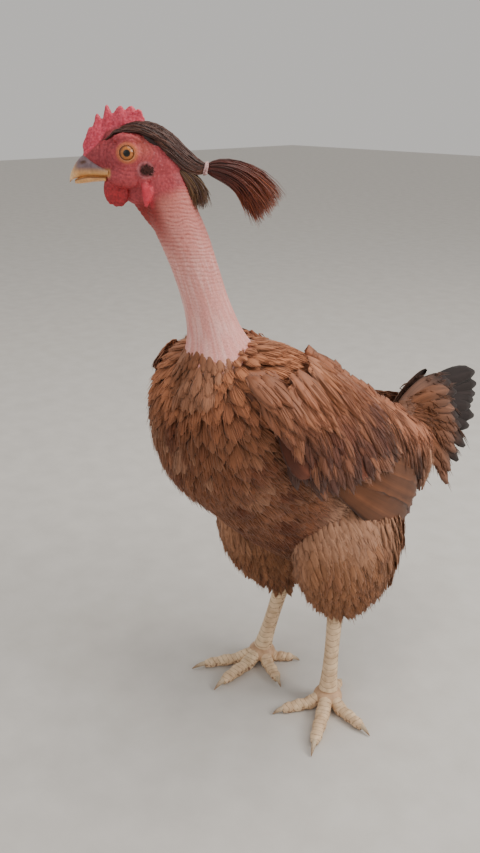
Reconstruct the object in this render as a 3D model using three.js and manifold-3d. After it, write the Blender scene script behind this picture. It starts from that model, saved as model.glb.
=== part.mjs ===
// A naked neck hen, standing at life size with its head turned to its right and its head tuft tied back.
// Millimetres, +Z up, -Y the way the breast faces, +X to the bird's left, the floor at Z = 0.
import * as THREE from "three";
import { mergeGeometries, mergeVertices } from "three/addons/utils/BufferGeometryUtils.js";
import Module from "manifold-3d";

const wasm = await Module();
wasm.setup();

// Sizes shared by several pieces
const gap = 0.35; // clearance between nodes that meet
const headTurn = THREE.MathUtils.degToRad(-42); // the head looks to the bird's right
const headPivot = new THREE.Vector3(-34.3, -127.8, 454.8); // midway between the eyes
const eyeRadius = 7.2;
const eyeReach = 8.4; // from the head's middle plane to an eye's centre
const tieSpot = { f: -48.6, z: -10.4 }; // where the tuft is tied, forward and up from the head pivot
const tieRadius = 3.7; // inside of the hair tie
const tieCord = 1.15;
const upperPower = 2.4; // squareness of the torso's cross-sections above and below their widest line
const lowerPower = 1.85;
const midFraction = 0.54; // height of the widest line in each section

// The torso's sections from breast to tail: y, lowest z, highest z, half width
const torsoRows = [
  [-126, 250, 270, 10],
  [-123, 239, 292, 25],
  [-113, 223, 311, 43],
  [-97, 205, 328, 57],
  [-71, 178, 336, 66],
  [-38, 148, 325, 70],
  [0, 122, 304, 71],
  [35, 111, 279, 67],
  [70, 117, 257, 59],
  [98, 132, 245, 48],
  [122, 156, 239, 34],
  [136, 183, 235, 19],
  [141, 202, 227, 8],
];

// Solids

function manifoldOf(geometry) {
  return new wasm.Manifold(
    new wasm.Mesh({
      numProp: 3,
      vertProperties: new Float32Array(geometry.getAttribute("position").array),
      triVerts: new Uint32Array(geometry.index.array),
    }),
  );
}

function turnedOver(geometry) {
  const index = geometry.index.array;
  for (let i = 0; i < index.length; i += 3) [index[i + 1], index[i + 2]] = [index[i + 2], index[i + 1]];
  return geometry;
}

// Welds a closed geometry's vertices and makes a solid of it, facing outwards.
function solid(geometry) {
  geometry.deleteAttribute("normal");
  geometry.deleteAttribute("uv");
  const welded = mergeVertices(geometry, 1e-3);
  const made = manifoldOf(welded);
  return made.volume() < 0 ? manifoldOf(turnedOver(welded)) : made;
}

function surfaceOf(made) {
  const mesh = made.getMesh();
  const geometry = new THREE.BufferGeometry();
  geometry.setAttribute("position", new THREE.BufferAttribute(new Float32Array(mesh.vertProperties), 3));
  geometry.setIndex(new THREE.BufferAttribute(new Uint32Array(mesh.triVerts), 1));
  return geometry;
}

// The same solid with its skin moved out along its normals.
function puffed(made, distance = gap) {
  const geometry = surfaceOf(made);
  geometry.computeVertexNormals();
  const position = geometry.getAttribute("position");
  const normal = geometry.getAttribute("normal");
  for (let i = 0; i < position.count; i++) {
    position.setXYZ(
      i,
      position.getX(i) + normal.getX(i) * distance,
      position.getY(i) + normal.getY(i) * distance,
      position.getZ(i) + normal.getZ(i) * distance,
    );
  }
  return solid(geometry);
}

function joined(...solids) {
  return wasm.Manifold.union(solids.flat());
}

function largest(made) {
  return made.decompose().reduce((a, b) => (b.volume() > a.volume() ? b : a));
}

function mirrored(made) {
  return solid(surfaceOf(made).applyMatrix4(new THREE.Matrix4().makeScale(-1, 1, 1)));
}

function moved(made, matrix) {
  return solid(surfaceOf(made).applyMatrix4(matrix));
}

function block(low, high) {
  const size = new THREE.Vector3().subVectors(high, low);
  const centre = new THREE.Vector3().addVectors(low, high).multiplyScalar(0.5);
  return solid(new THREE.BoxGeometry(size.x, size.y, size.z).translate(centre.x, centre.y, centre.z));
}

function ball(x, y, z, rx, ry, rz, wide = 16, high = 10) {
  return solid(new THREE.SphereGeometry(1, wide, high).scale(rx, ry, rz).translate(x, y, z));
}

// A cylinder whose points are placed one by one: t runs 0 to 1 along it, and reach is 1 on the wall
// and 0 at a cap's centre.
function bent(sides, steps, place) {
  const geometry = new THREE.CylinderGeometry(1, 1, 1, sides, steps);
  const position = geometry.getAttribute("position");
  for (let i = 0; i < position.count; i++) {
    const x = position.getX(i);
    const z = position.getZ(i);
    const point = place(0.5 - position.getY(i), Math.atan2(x, z), Math.hypot(x, z));
    position.setXYZ(i, point.x, point.y, point.z);
  }
  return solid(geometry);
}

// A thin blade, such as a feather's vane or a lock: two alike sheets that share their edge.
// u runs -1 to 1 across it, v runs 0 to 1 from root to tip, and skin is 1 on the outer sheet and -1
// on the inner.
function blade(columns, rows, place) {
  const sheet = (skin) => {
    const geometry = new THREE.PlaneGeometry(2, 1, columns, rows);
    const position = geometry.getAttribute("position");
    for (let i = 0; i < position.count; i++) {
      const u = position.getX(i);
      const v = 0.5 - position.getY(i);
      const inside = Math.min(1, 8 * v, 8 * (1 - v)) * (1 - u * u);
      const point = place(u, v, skin * Math.max(0, inside));
      position.setXYZ(i, point.x, point.y, point.z);
    }
    return geometry;
  };
  return solid(mergeGeometries([sheet(1), turnedOver(sheet(-1))]));
}

// Smooth values through rows of numbers, for t from 0 to 1.
function track(rows) {
  const row = (k) => rows[Math.min(Math.max(k, 0), rows.length - 1)];
  return (t) => {
    const place = Math.min(Math.max(t, 0), 1) * (rows.length - 1);
    const i = Math.min(Math.floor(place), rows.length - 2);
    const f = place - i;
    return rows[0].map((_, c) => {
      const [a, b, d, e] = [row(i - 1)[c], row(i)[c], row(i + 1)[c], row(i + 2)[c]];
      const bend = (2 * a - 5 * b + 4 * d - e) * f * f + (3 * b - a - 3 * d + e) * f ** 3;
      return 0.5 * (2 * b + (d - a) * f + bend);
    });
  };
}

// A limb through stations [x, y, z, half width, half depth]; across is the direction of its width.
function limb(stations, across, sides, steps, relief = () => 0) {
  const at = track(stations);
  const centre = (t) => new THREE.Vector3(...at(t));
  return bent(sides, steps, (t, angle, reach) => {
    const [, , , wide, deep] = at(t);
    const along = centre(Math.min(t + 0.01, 1)).sub(centre(Math.max(t - 0.01, 0))).normalize();
    const side = across.clone().addScaledVector(along, -across.dot(along)).normalize();
    const front = new THREE.Vector3().crossVectors(along, side);
    const raised = reach * (1 + relief(t, angle));
    return centre(t)
      .addScaledVector(side, wide * Math.sin(angle) * raised)
      .addScaledVector(front, deep * Math.cos(angle) * raised);
  });
}

// A repeatable run of numbers from -1 to 1.
function chance(seed) {
  let state = seed;
  return () => {
    state = (state * 16807) % 2147483647;
    return (state / 2147483647) * 2 - 1;
  };
}

const mix = THREE.MathUtils.lerp;
const left = new THREE.Vector3(1, 0, 0);
const ahead = new THREE.Vector3(0, -1, 0);

// Torso

const torsoAt = track(torsoRows);

function torsoSection(y) {
  let low = 0;
  let high = 1;
  for (let i = 0; i < 24; i++) {
    const middle = (low + high) / 2;
    if (torsoAt(middle)[0] < y) low = middle;
    else high = middle;
  }
  const [, bottom, top, half] = torsoAt(low);
  return { bottom, top, half, middle: mix(bottom, top, midFraction) };
}

function superellipse(value, power) {
  return Math.sign(value) * Math.abs(value) ** (2 / power);
}

function torso() {
  const sides = 20;
  const steps = 19;
  return bent(sides, steps, (t, angle, reach) => {
    const [y, bottom, top, half] = torsoAt(t);
    const middle = mix(bottom, top, midFraction);
    const upper = Math.cos(angle) > 0;
    const rise = upper ? top - middle : middle - bottom;
    const power = upper ? upperPower : lowerPower;
    return new THREE.Vector3(
      half * superellipse(Math.sin(angle), power) * reach,
      y,
      middle + rise * superellipse(Math.cos(angle), power) * reach,
    );
  });
}

// The point on the torso's left side at y and z, lifted off it. Past the torso's edge it keeps some width.
function overFlank(y, z, lift) {
  const { bottom, top, half, middle } = torsoSection(Math.min(Math.max(y, -122), 118));
  const upper = z > middle;
  const power = upper ? upperPower : lowerPower;
  const share = Math.min(Math.abs(z - middle) / (upper ? top - middle : middle - bottom), 0.93);
  return new THREE.Vector3(half * (1 - share ** power) ** (1 / power) + lift, y, z);
}

// Wings: a folded wing on the flank, with its feathers in tiers over a thin core

const wingCore = [
  [-103, 313, 6, 2],
  [-96, 309, 15, 6],
  [-77, 295, 26, 9],
  [-47, 272, 33, 9],
  [-15, 249, 34, 7.5],
  [12, 228, 26, 5],
  [34, 210, 12, 2.5],
];

// Each tier runs from its lowest feather to its highest: where they are rooted and where they end, as
// y and z on the flank, then their half width, height over the flank at root and tip, and tilt.
const wingTiers = [
  {
    name: "hand", // the flight feathers of the wing's hand, mostly hidden
    count: 2,
    roots: [[-24, 218], [-6, 216]],
    tips: [[66, 157], [75, 168]],
    width: 9,
    lift: [2, 1.4],
    tilt: 0.02,
    drop: 0,
  },
  {
    name: "arm", // the flight feathers of the wing's arm
    count: 5,
    roots: [[-42, 236], [4, 268]],
    tips: [[66, 163], [48, 232]],
    width: 14,
    lift: [6.5, 5],
    tilt: 0.12,
    drop: 9,
  },
  {
    name: "greater coverts",
    count: 5,
    roots: [[-76, 272], [-22, 300]],
    tips: [[-37, 228], [32, 240]],
    width: 14,
    lift: [7.5, 9],
    tilt: 0.12,
    drop: 8,
  },
  {
    name: "shoulder",
    count: 5,
    roots: [[-96, 298], [-54, 320]],
    tips: [[-63, 251], [4, 272]],
    width: 14,
    lift: [7, 11.4],
    tilt: 0.12,
    drop: 7,
  },
];
const wingVaneThickness = 1.6;

function vaneWidth(v) {
  const taper = Math.max(0, (v - 0.78) / 0.22) ** 2.2;
  return 0.34 + 0.66 * Math.sin(Math.min(v * 1.5, 1) * Math.PI * 0.5) - 0.82 * taper;
}

// A feather along the flank from a root to a tip, both y and z.
function flankVane(root, tip, { width, lift, tilt }, bow) {
  const along = new THREE.Vector2(tip[0] - root[0], tip[1] - root[1]);
  const across = new THREE.Vector2(-along.y, along.x).normalize();
  return blade(2, 4, (u, v, skin) => {
    const half = width * vaneWidth(v);
    const sag = bow * Math.sin(v * Math.PI);
    const y = root[0] + along.x * v + across.x * (u * half + sag);
    const z = root[1] + along.y * v + across.y * (u * half + sag);
    const camber = 1.4 * (1 - u * u) + (skin * wingVaneThickness) / 2;
    return overFlank(y, z, mix(lift[0] - 4, lift[1], Math.min(1, v * 2.2)) + u * half * tilt + camber);
  });
}

function wing(body, thighSolid) {
  const at = track(wingCore);
  const core = bent(14, 8, (t, angle, reach) => {
    const [y, z, half, thick] = at(t);
    const span = half * Math.sin(angle) * reach;
    return overFlank(y + span * 0.5, z + span * 0.86, thick * Math.cos(angle) * reach - 1);
  });
  const draw = chance(11);
  const vanes = wingTiers.flatMap((tier) =>
    Array.from({ length: tier.count }, (_, k) => {
      const share = k / (tier.count - 1);
      const place = (line) => [mix(line[0][0], line[1][0], share), mix(line[0][1], line[1][1], share)];
      const tip = place(tier.tips);
      const drop = tier.drop * Math.sin(share * Math.PI);
      return flankVane(place(tier.roots), [tip[0] + drop + 2 * draw(), tip[1] + draw()], tier, -3 + draw());
    }),
  );
  return largest(joined(core, vanes).subtract(puffed(body)).subtract(puffed(thighSolid)));
}

// Tail: a tented fan of main feathers, with shorter coverts over their roots

const tailRoot = new THREE.Vector3(0, 112, 222);

// Each row: feathers a side, first and last launch angle above level, length, width, arch, spread
const tailTiers = [
  { count: 5, launch: [26, 0], length: [126, 93], width: 13, arch: [34, 36], spread: [4, 20], thick: 1.5 },
  {
    count: 4,
    launch: [42, -18],
    length: [70, 82],
    width: 15,
    arch: [52, 58],
    spread: [10, 28],
    thick: 1.6,
  },
];

function archedVane(start, side, launch, length, width, arch, spread, thick) {
  const rise = THREE.MathUtils.degToRad(launch);
  const bend = THREE.MathUtils.degToRad(arch);
  const line = (v) => {
    const turn = rise - bend * v * 0.5;
    return new THREE.Vector3(
      side * (2 + spread * v),
      start.y + length * v * Math.cos(turn),
      start.z + length * v * Math.sin(turn),
    );
  };
  return blade(2, 4, (u, v, skin) => {
    const along = line(Math.min(v + 0.02, 1)).sub(line(Math.max(v - 0.02, 0))).normalize();
    const out = new THREE.Vector3(side, 0, 0.45).normalize();
    const across = new THREE.Vector3().crossVectors(along, out).normalize();
    const half = width * vaneWidth(v);
    return line(v)
      .addScaledVector(across, u * half)
      .addScaledVector(out, 1.8 * (1 - u * u) + (skin * thick) / 2);
  });
}

function tail(body) {
  const core = limb(
    [
      [0, 104, 214, 22, 26],
      [0, 124, 216, 18, 26],
      [0, 146, 218, 10, 22],
      [0, 166, 220, 4, 14],
    ],
    left,
    14,
    8,
  );
  const vanes = tailTiers.flatMap((tier) =>
    [1, -1].flatMap((side) =>
      Array.from({ length: tier.count }, (_, k) => {
        const share = k / (tier.count - 1);
        const between = (pair) => mix(pair[0], pair[1], share);
        return archedVane(
          tailRoot,
          side,
          between(tier.launch),
          between(tier.length),
          tier.width,
          between(tier.arch),
          between(tier.spread),
          tier.thick,
        );
      }),
    ),
  );
  return largest(joined(core, vanes).subtract(puffed(body)));
}

// Legs. Each foot's toes: angle from straight ahead towards the left, length with claw, base radius

const legs = {
  left: {
    thigh: [
      [40, 6, 200, 30, 50],
      [43, 14, 164, 35, 58],
      [44, 18, 132, 30, 45],
      [40, 16, 108, 18, 25],
      [36.5, 13, 92, 11, 12.5],
      [35.5, 12.5, 85, 8.6, 9.4],
    ],
    hock: [35, 13, 99],
    foot: [40, 1],
    toes: { inner: [-24, 50, 5.4], middle: [32, 68, 5.9], outer: [84, 52, 5.3], hind: [-160, 34, 4.8] },
  },
  right: {
    thigh: [
      [-40, 2, 200, 30, 50],
      [-40, 6, 164, 35, 54],
      [-38, 8, 130, 29, 40],
      [-33, 12, 105, 19, 25],
      [-30, 13, 84, 12, 13.5],
      [-31, 11.5, 71, 8.6, 9.6],
    ],
    hock: [-27, 16, 95],
    foot: [-44, 3],
    toes: { inner: [68, 46, 5.4], middle: [6, 64, 5.9], outer: [-27, 66, 5.3], hind: [130, 35, 4.8] },
  },
};
const scuteRise = 0.07; // height of a scute over its seam, as a share of the leg's radius
const floor = block(new THREE.Vector3(-300, -300, -50), new THREE.Vector3(300, 300, 0));

// Overlapping plates down the front of a shank or the top of a toe: each rises towards its lower edge.
function scutes(count) {
  return (t, angle) => {
    const face = Math.max(0, Math.cos(angle)) ** 0.5;
    const step = (t * count) % 1;
    return scuteRise * face * (step < 0.5 ? 0 : 1);
  };
}

function thigh(leg) {
  return limb(leg.thigh, left, 14, 8);
}

function shank(leg, thighSolid) {
  const [fx, fy] = leg.foot;
  const [hx, hy, hz] = leg.hock;
  const at = (t, wide, deep) => [mix(hx, fx, t), mix(hy, fy, t), mix(hz, 11, t), wide, deep];
  const scuteCount = 9;
  const stalk = limb(
    [at(0, 8, 8.8), at(0.15, 7, 8), at(0.35, 6.2, 7), at(0.6, 6.1, 6.8), at(0.8, 6.8, 7.2), at(0.93, 8, 8)],
    legSide(leg),
    8,
    scuteCount * 2,
    scutes(scuteCount),
  );
  const pad = ball(fx, fy, 8.6, 12.5, 12.5, 9, 10, 6);
  return largest(joined(stalk, pad).subtract(puffed(thighSolid)).subtract(floor));
}

// The direction a leg's width is measured along, square to its middle toe.
function legSide(leg) {
  const turn = THREE.MathUtils.degToRad(leg.toes.middle[0]);
  return new THREE.Vector3(Math.cos(turn), Math.sin(turn), 0);
}

function toe(leg, [degrees, length, radius]) {
  const turn = THREE.MathUtils.degToRad(degrees);
  const out = new THREE.Vector3(Math.sin(turn), -Math.cos(turn), 0);
  const [fx, fy] = leg.foot;
  const at = (t, height, r) => [fx + out.x * length * t, fy + out.y * length * t, height, r, r];
  const side = new THREE.Vector3(Math.cos(turn), Math.sin(turn), 0);
  const count = Math.round(length / 11);
  return limb(
    [
      at(0.02, 9.5, radius * 0.9),
      at(0.2, 7.6, radius),
      at(0.4, radius * 0.84, radius * 0.96),
      at(0.6, radius * 0.82, radius * 0.86),
      at(0.76, radius * 0.74, radius * 0.78),
      at(0.84, radius * 0.66, radius * 0.5),
    ],
    side,
    7,
    count * 2,
    scutes(count),
  );
}

function claw(leg, [degrees, length, radius], toeSolid) {
  const turn = THREE.MathUtils.degToRad(degrees);
  const out = new THREE.Vector3(Math.sin(turn), -Math.cos(turn), 0);
  const [fx, fy] = leg.foot;
  const at = (t, height, r) => [fx + out.x * length * t, fy + out.y * length * t, height, r * 0.8, r];
  const side = new THREE.Vector3(Math.cos(turn), Math.sin(turn), 0);
  const made = limb(
    [
      at(0.74, radius * 0.86, radius * 0.42),
      at(0.84, radius * 0.82, radius * 0.4),
      at(0.92, radius * 0.62, radius * 0.28),
      at(1, radius * 0.22, radius * 0.09),
    ],
    side,
    6,
    3,
  );
  return largest(made.subtract(puffed(toeSolid)).subtract(floor));
}

// Head, in its own frame: forward is f, up is z, and the point (f, z) lies at y = -f.
// Stations from bill to nape: forward, highest z, lowest z, half width

const headRows = [
  [30.5, -1, -13, 4.3],
  [27, 2, -14.6, 6.4],
  [20, 6.5, -17.4, 8.4],
  [12, 10.5, -21, 10.6],
  [4, 13, -23.6, 12.4],
  [-5, 14.6, -25, 13.4],
  [-14, 14, -26, 13.8],
  [-23, 10.6, -25.5, 12.8],
  [-30, 5, -23, 10],
  [-34, -1, -19, 6.5],
  [-36, -6, -15, 2.5],
];

function headSection(rows, sides, steps) {
  const at = track(rows);
  return bent(sides, steps, (t, angle, reach) => {
    const [f, top, bottom, half] = at(t);
    return new THREE.Vector3(
      half * Math.sin(angle) * reach,
      -f,
      (top + bottom) / 2 + ((top - bottom) / 2) * Math.cos(angle) * reach,
    );
  });
}

// The ring of skin round an eye
function lids(side) {
  const ring = new THREE.TorusGeometry(6.0, 1.25, 5, 12);
  ring.scale(1.06, 1, 1);
  ring.rotateY(Math.PI / 2);
  ring.rotateZ(side * -0.14);
  ring.translate(side * (eyeReach + 4.6), 0.4, 0);
  return solid(ring);
}

function eye(side) {
  return ball(side * eyeReach, 0, 0, eyeRadius, eyeRadius, eyeRadius, 12, 8);
}

function head(eyes) {
  const skull = headSection(headRows, 14, 11);
  const pieces = [skull];
  for (const side of [1, -1]) {
    pieces.push(lids(side));
    pieces.push(ball(side * 8.5, 1, 8.4, 5.4, 10, 4.2, 8, 5)); // brow
    pieces.push(ball(side * 7.6, -2, -15, 5.6, 11, 7, 8, 5)); // cheek
  }
  pieces.push(ball(0, 6, -25, 6.5, 10, 6, 8, 5)); // throat skin
  let made = joined(pieces);
  for (const each of eyes) made = made.subtract(puffed(each, 0.3));
  return largest(made);
}

// Bill: a hooked upper half over a shorter lower half, with the mouth line between them

const billUpper = [
  // forward, highest z, lowest z, half width
  [21, 4.5, -12.5, 6.4],
  [26.5, 1.8, -13.6, 6.5],
  [30.6, -1.4, -14.6, 5.6],
  [34.6, -6.4, -15.8, 4.3],
  [37.4, -11, -17.2, 3],
  [39, -14.8, -18.6, 1.6],
  [39.4, -17.6, -19.4, 0.6],
];
const billLower = [
  [17, -13.4, -17.8, 6.4],
  [24, -14.2, -18.6, 5.4],
  [29, -15, -19.3, 4.4],
  [33, -16, -19.6, 3.1],
  [35.6, -17.4, -19.5, 1.5],
];

function beaks(skull) {
  const nostril = (side) => ball(side * 5.6, -30, -6.6, 1.8, 2.4, 1.1, 8, 6);
  const upperWhole = headSection(billUpper, 12, 8);
  const upper = upperWhole.subtract(nostril(1)).subtract(nostril(-1)).subtract(puffed(skull));
  const lower = headSection(billLower, 10, 5).subtract(puffed(skull)).subtract(puffed(upperWhole));
  return { upper: largest(upper), lower: largest(lower) };
}

// Comb: a low single comb of small points, as an outline in f and z, thickest at its base

const combOutline = [
  [29, 2],
  [28.6, 6.5],
  [25.6, 10.2],
  [24.6, 15],
  [21.4, 15.6],
  [19.4, 23.6],
  [16, 18.8],
  [13.6, 28.2],
  [9.6, 22.6],
  [4.8, 27.6],
  [1.6, 24.8],
  [-2.2, 27.6],
  [-4.6, 24.6],
  [-8, 25],
  [-10.4, 20.4],
  [-9, 15],
  [0, 11],
  [12, 6],
  [22, 0],
];

function comb() {
  const shape = new THREE.Shape(combOutline.map(([f, z]) => new THREE.Vector2(-f, z)));
  const thick = 2.4;
  const geometry = new THREE.ExtrudeGeometry(shape, {
    depth: thick,
    bevelThickness: 1.1,
    bevelSize: 0.7,
    bevelOffset: -0.7,
    bevelSegments: 1,
    steps: 1,
  });
  geometry.translate(0, 0, -thick / 2);
  // Extruded along its own z: turn it so that this runs across the head.
  geometry.rotateX(Math.PI / 2);
  geometry.rotateZ(Math.PI / 2);
  const position = geometry.getAttribute("position");
  for (let i = 0; i < position.count; i++) {
    const y = position.getY(i);
    const z = position.getZ(i);
    const flare = 1 + 0.9 * Math.max(0, 1 - (z - 4) / 16);
    const wave = 0.9 * Math.sin(y * 0.32) * Math.min(1, Math.max(0, (z - 8) / 12));
    position.setX(i, position.getX(i) * flare + wave);
  }
  return solid(geometry);
}

function wattle(side, skull) {
  const made = limb(
    [
      [side * 4.6, -12, -17, 2.4, 4.5],
      [side * 5.2, -10.4, -21.5, 2.6, 7],
      [side * 5.6, -8.6, -26, 2.6, 7.9],
      [side * 5.8, -7.2, -30, 2.2, 6.4],
      [side * 5.8, -6.6, -33, 1.2, 3],
    ],
    left,
    8,
    6,
  );
  return largest(made.subtract(puffed(skull)));
}

function earLobe(side, taken) {
  const made = limb(
    [
      [side * 10, 10.4, -19, 2, 3],
      [side * 12.4, 10.8, -23, 2.4, 3.3],
      [side * 12.6, 11, -28, 2.3, 3],
      [side * 11.8, 10.8, -32.5, 1, 1.4],
    ],
    left,
    8,
    5,
  );
  return largest(made.subtract(taken));
}

// The small stiff feathers over the ear opening
function earPatch(side) {
  return ball(side * 12.6, 10.2, -10.6, 2.6, 4.6, 3.9, 10, 6);
}

// Tuft: locks combed back over the crown to the tie, and a plume that fans out behind it

// A lock along a smooth line through points, flat side towards out.
function lock(points, width, thick, out, rows = 4) {
  const curve = new THREE.CatmullRomCurve3(points);
  return blade(2, rows, (u, v, skin) => {
    const centre = curve.getPoint(v);
    const along = curve.getTangent(v);
    const face = out(centre);
    const across = new THREE.Vector3().crossVectors(along, face).normalize();
    const half = width * (v < 0.5 ? mix(0.6, 1, v * 2) : mix(1, 0.25, (v - 0.5) * 2));
    return centre.addScaledVector(across, u * half).addScaledVector(face, (skin * thick) / 2);
  });
}

const tuftAxis = new THREE.Vector3(0, -tieSpot.f, tieSpot.z);

function crest(taken) {
  const core = headSection(
    [
      [12, 12.5, 8, 4.5],
      [5, 15.6, 9, 8],
      [-6, 17.4, 6, 11.5],
      [-16, 15.6, -3, 14],
      [-26, 9.4, -9, 12.4],
      [-35, 1.2, -14.6, 8.6],
      [-42, -4.6, -15.2, 5.2],
      [-46, -7.2, -14, 3.5],
      [-48.4, -7.6, -13.3, 2.9],
    ],
    12,
    9,
  );
  const locks = [];
  const rings = [
    { count: 5, start: 11, spread: 62, rise: 1.5, width: 5 },
    { count: 6, start: -4, spread: 100, rise: 1.1, width: 6 },
  ];
  const draw = chance(5);
  for (const ring of rings) {
    for (let k = 0; k < ring.count; k++) {
      const angle = THREE.MathUtils.degToRad(mix(-ring.spread, ring.spread, k / (ring.count - 1)));
      const point = (f, radius, z) =>
        new THREE.Vector3(Math.sin(angle) * radius, -f, z + Math.cos(angle) * radius);
      const start = ring.start + 1.5 * draw();
      const skin = (f) => {
        const share = THREE.MathUtils.clamp((start - f) / (start + 44), 0, 1);
        return mix(12.6, 2.6, share ** 1.5) + ring.rise * Math.sin(share * Math.PI) + 0.8;
      };
      const middle = (f) => mix(0.5, tieSpot.z, THREE.MathUtils.clamp((6 - f) / 48, 0, 1) ** 1.35);
      const line = [0, 0.3, 0.62, 1].map((share) => {
        const f = mix(start, -43.5, share);
        return point(f, skin(f) + (share === 0 ? -2.2 : 0), middle(f));
      });
      const out = (p) => new THREE.Vector3(p.x, 0.0001, p.z - middle(-p.y)).normalize();
      locks.push(lock(line, ring.width, 2, out));
    }
  }
  return largest(joined(core, locks, napeTuft()).subtract(taken));
}

// Looser locks that hang from the back of the crown over the nape
function napeTuft() {
  const draw = chance(23);
  const core = limb(
    [
      [0, 31, -8, 8, 6],
      [0, 36, -16, 7, 5],
      [0, 39, -23, 4.5, 3],
    ],
    left,
    8,
    3,
  );
  const locks = Array.from({ length: 4 }, (_, k) => {
    const share = k / 3 - 0.5;
    const x = share * 15;
    return lock(
      [
        new THREE.Vector3(x * 0.7, 33, -9),
        new THREE.Vector3(x, 39.5 + draw(), -18),
        new THREE.Vector3(x * 0.8, 41 + 1.5 * draw(), -26),
        new THREE.Vector3(x * 0.5, 43 + 2 * draw(), -33 + 2 * draw()),
      ],
      3.4,
      1.8,
      () => new THREE.Vector3(share * 1.4, 1, -0.2).normalize(),
    );
  });
  return joined(core, locks);
}

function hairTie() {
  const ring = new THREE.TorusGeometry(tieRadius + tieCord, tieCord, 6, 16);
  ring.rotateX(Math.PI / 2);
  ring.rotateX(THREE.MathUtils.degToRad(6));
  ring.translate(tuftAxis.x, tuftAxis.y, tuftAxis.z);
  return solid(ring);
}

function plume() {
  const start = tuftAxis.clone();
  const core = limb(
    [
      [0, start.y + 0.4, start.z, 2.9, 2.9],
      [0, start.y + 3, start.z, 3.4, 3.8],
      [0, start.y + 9, start.z + 0.2, 5.2, 6.6],
      [0, start.y + 18, start.z - 2, 6, 8],
      [0, start.y + 27, start.z - 8, 4, 6.5],
    ],
    left,
    10,
    6,
  );
  const draw = chance(31);
  const locks = [];
  const layers = [
    { count: 5, launch: 7, drop: 19, reach: 45, spread: 10 },
    { count: 4, launch: 0, drop: 29, reach: 39, spread: 10 },
    { count: 4, launch: -8, drop: 29, reach: 29, spread: 8 },
  ];
  for (const layer of layers) {
    for (let k = 0; k < layer.count; k++) {
      const share = k / (layer.count - 1) - 0.5;
      const x = share * 2 * layer.spread;
      const reach = layer.reach * (1 - 0.5 * share * share) + 2.5 * draw();
      const fall = layer.drop + 4 * draw();
      const line = [
        new THREE.Vector3(share * 3, start.y + 3, start.z + layer.launch * 0.25),
        new THREE.Vector3(x * 0.55, start.y + 4 + reach * 0.36, start.z + layer.launch * 0.9),
        new THREE.Vector3(x * 0.9, start.y + 4 + reach * 0.74, start.z + layer.launch * 0.5 - fall * 0.35),
        new THREE.Vector3(x, start.y + 4 + reach, start.z + layer.launch * 0.3 - fall),
      ];
      const out = () => new THREE.Vector3(share * 1.2, 0.35, 1).normalize();
      locks.push(lock(line, 5.4, 1.9, out));
    }
  }
  const collar = block(
    new THREE.Vector3(-30, start.y - 30, start.z - 60),
    new THREE.Vector3(30, start.y + 0.3, start.z + 60),
  );
  const sleeve = bent(16, 1, (t, angle, reach) => {
    const wide = 30 * reach;
    return new THREE.Vector3(
      Math.sin(angle) * wide,
      start.y - 2 + t * (tieCord + 2.55),
      start.z + Math.cos(angle) * wide,
    );
  }).subtract(
    bent(16, 1, (t, angle, reach) => {
      const wide = (tieRadius - gap) * reach;
      const y = start.y - 4 + t * 9;
      return new THREE.Vector3(Math.sin(angle) * wide, y, start.z + Math.cos(angle) * wide);
    }),
  );
  return largest(joined(core, locks).subtract(collar).subtract(sleeve));
}

// Neck: bare skin from under the skull down into the feathers of the shoulders
// Stations in the head's plane: forward, z, half width in that plane, half width across it

const neckRows = [
  [-20, -8, 13.4, 11.5],
  [-23, -24, 16.6, 14],
  [-27.5, -40, 16, 14.6],
  [-34.5, -57, 15.8, 14.8],
  [-41, -76, 15.2, 14.8],
  [-46.8, -96, 15.4, 15.2],
  [-51, -112, 17.4, 17.4],
  [-53.5, -124, 21, 21.5],
  [-55.5, -136, 27, 29],
  [-57, -152, 33, 36],
];

const headMatrix = new THREE.Matrix4()
  .makeRotationZ(headTurn)
  .premultiply(new THREE.Matrix4().makeTranslation(headPivot));

function neck() {
  const stations = neckRows.map(([f, z, plane, across]) => [0, -f, z, across, plane]);
  return limb(stations, left, 16, 11);
}

// The assembly

const finish = {
  russet: new THREE.MeshStandardMaterial({ color: 0x9a5a34, roughness: 0.85 }),
  tail: new THREE.MeshStandardMaterial({ color: 0x3a3230, roughness: 0.7 }),
  bareSkin: new THREE.MeshStandardMaterial({ color: 0xd99a92, roughness: 0.6 }),
  face: new THREE.MeshStandardMaterial({ color: 0xc2473f, roughness: 0.55 }),
  comb: new THREE.MeshStandardMaterial({ color: 0xd23a4c, roughness: 0.5 }),
  horn: new THREE.MeshStandardMaterial({ color: 0xc79a55, roughness: 0.4 }),
  scale: new THREE.MeshStandardMaterial({ color: 0xcdae83, roughness: 0.6 }),
  tuft: new THREE.MeshStandardMaterial({ color: 0x4b2119, roughness: 0.5 }),
  elastic: new THREE.MeshStandardMaterial({ color: 0xf0c8c4, roughness: 0.7 }),
  eye: new THREE.MeshStandardMaterial({ color: 0xc8955a, roughness: 0.1 }),
};

const hen = new THREE.Group();

function add(group, name, made, material) {
  const geometry = surfaceOf(made);
  const mesh = new THREE.Mesh(geometry, material);
  mesh.name = name;
  group.add(mesh);
}

const body = torso();
const thighs = { left: thigh(legs.left), right: thigh(legs.right) };
const wingLeft = wing(body, thighs.left);
const wingRight = mirrored(wing(body, mirrored(thighs.right)));
const bodyGroup = new THREE.Group();
add(bodyGroup, "torso", body, finish.russet);
add(bodyGroup, "wing_left", wingLeft, finish.russet);
add(bodyGroup, "wing_right", wingRight, finish.russet);
add(bodyGroup, "tail", tail(body), finish.tail);

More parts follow.
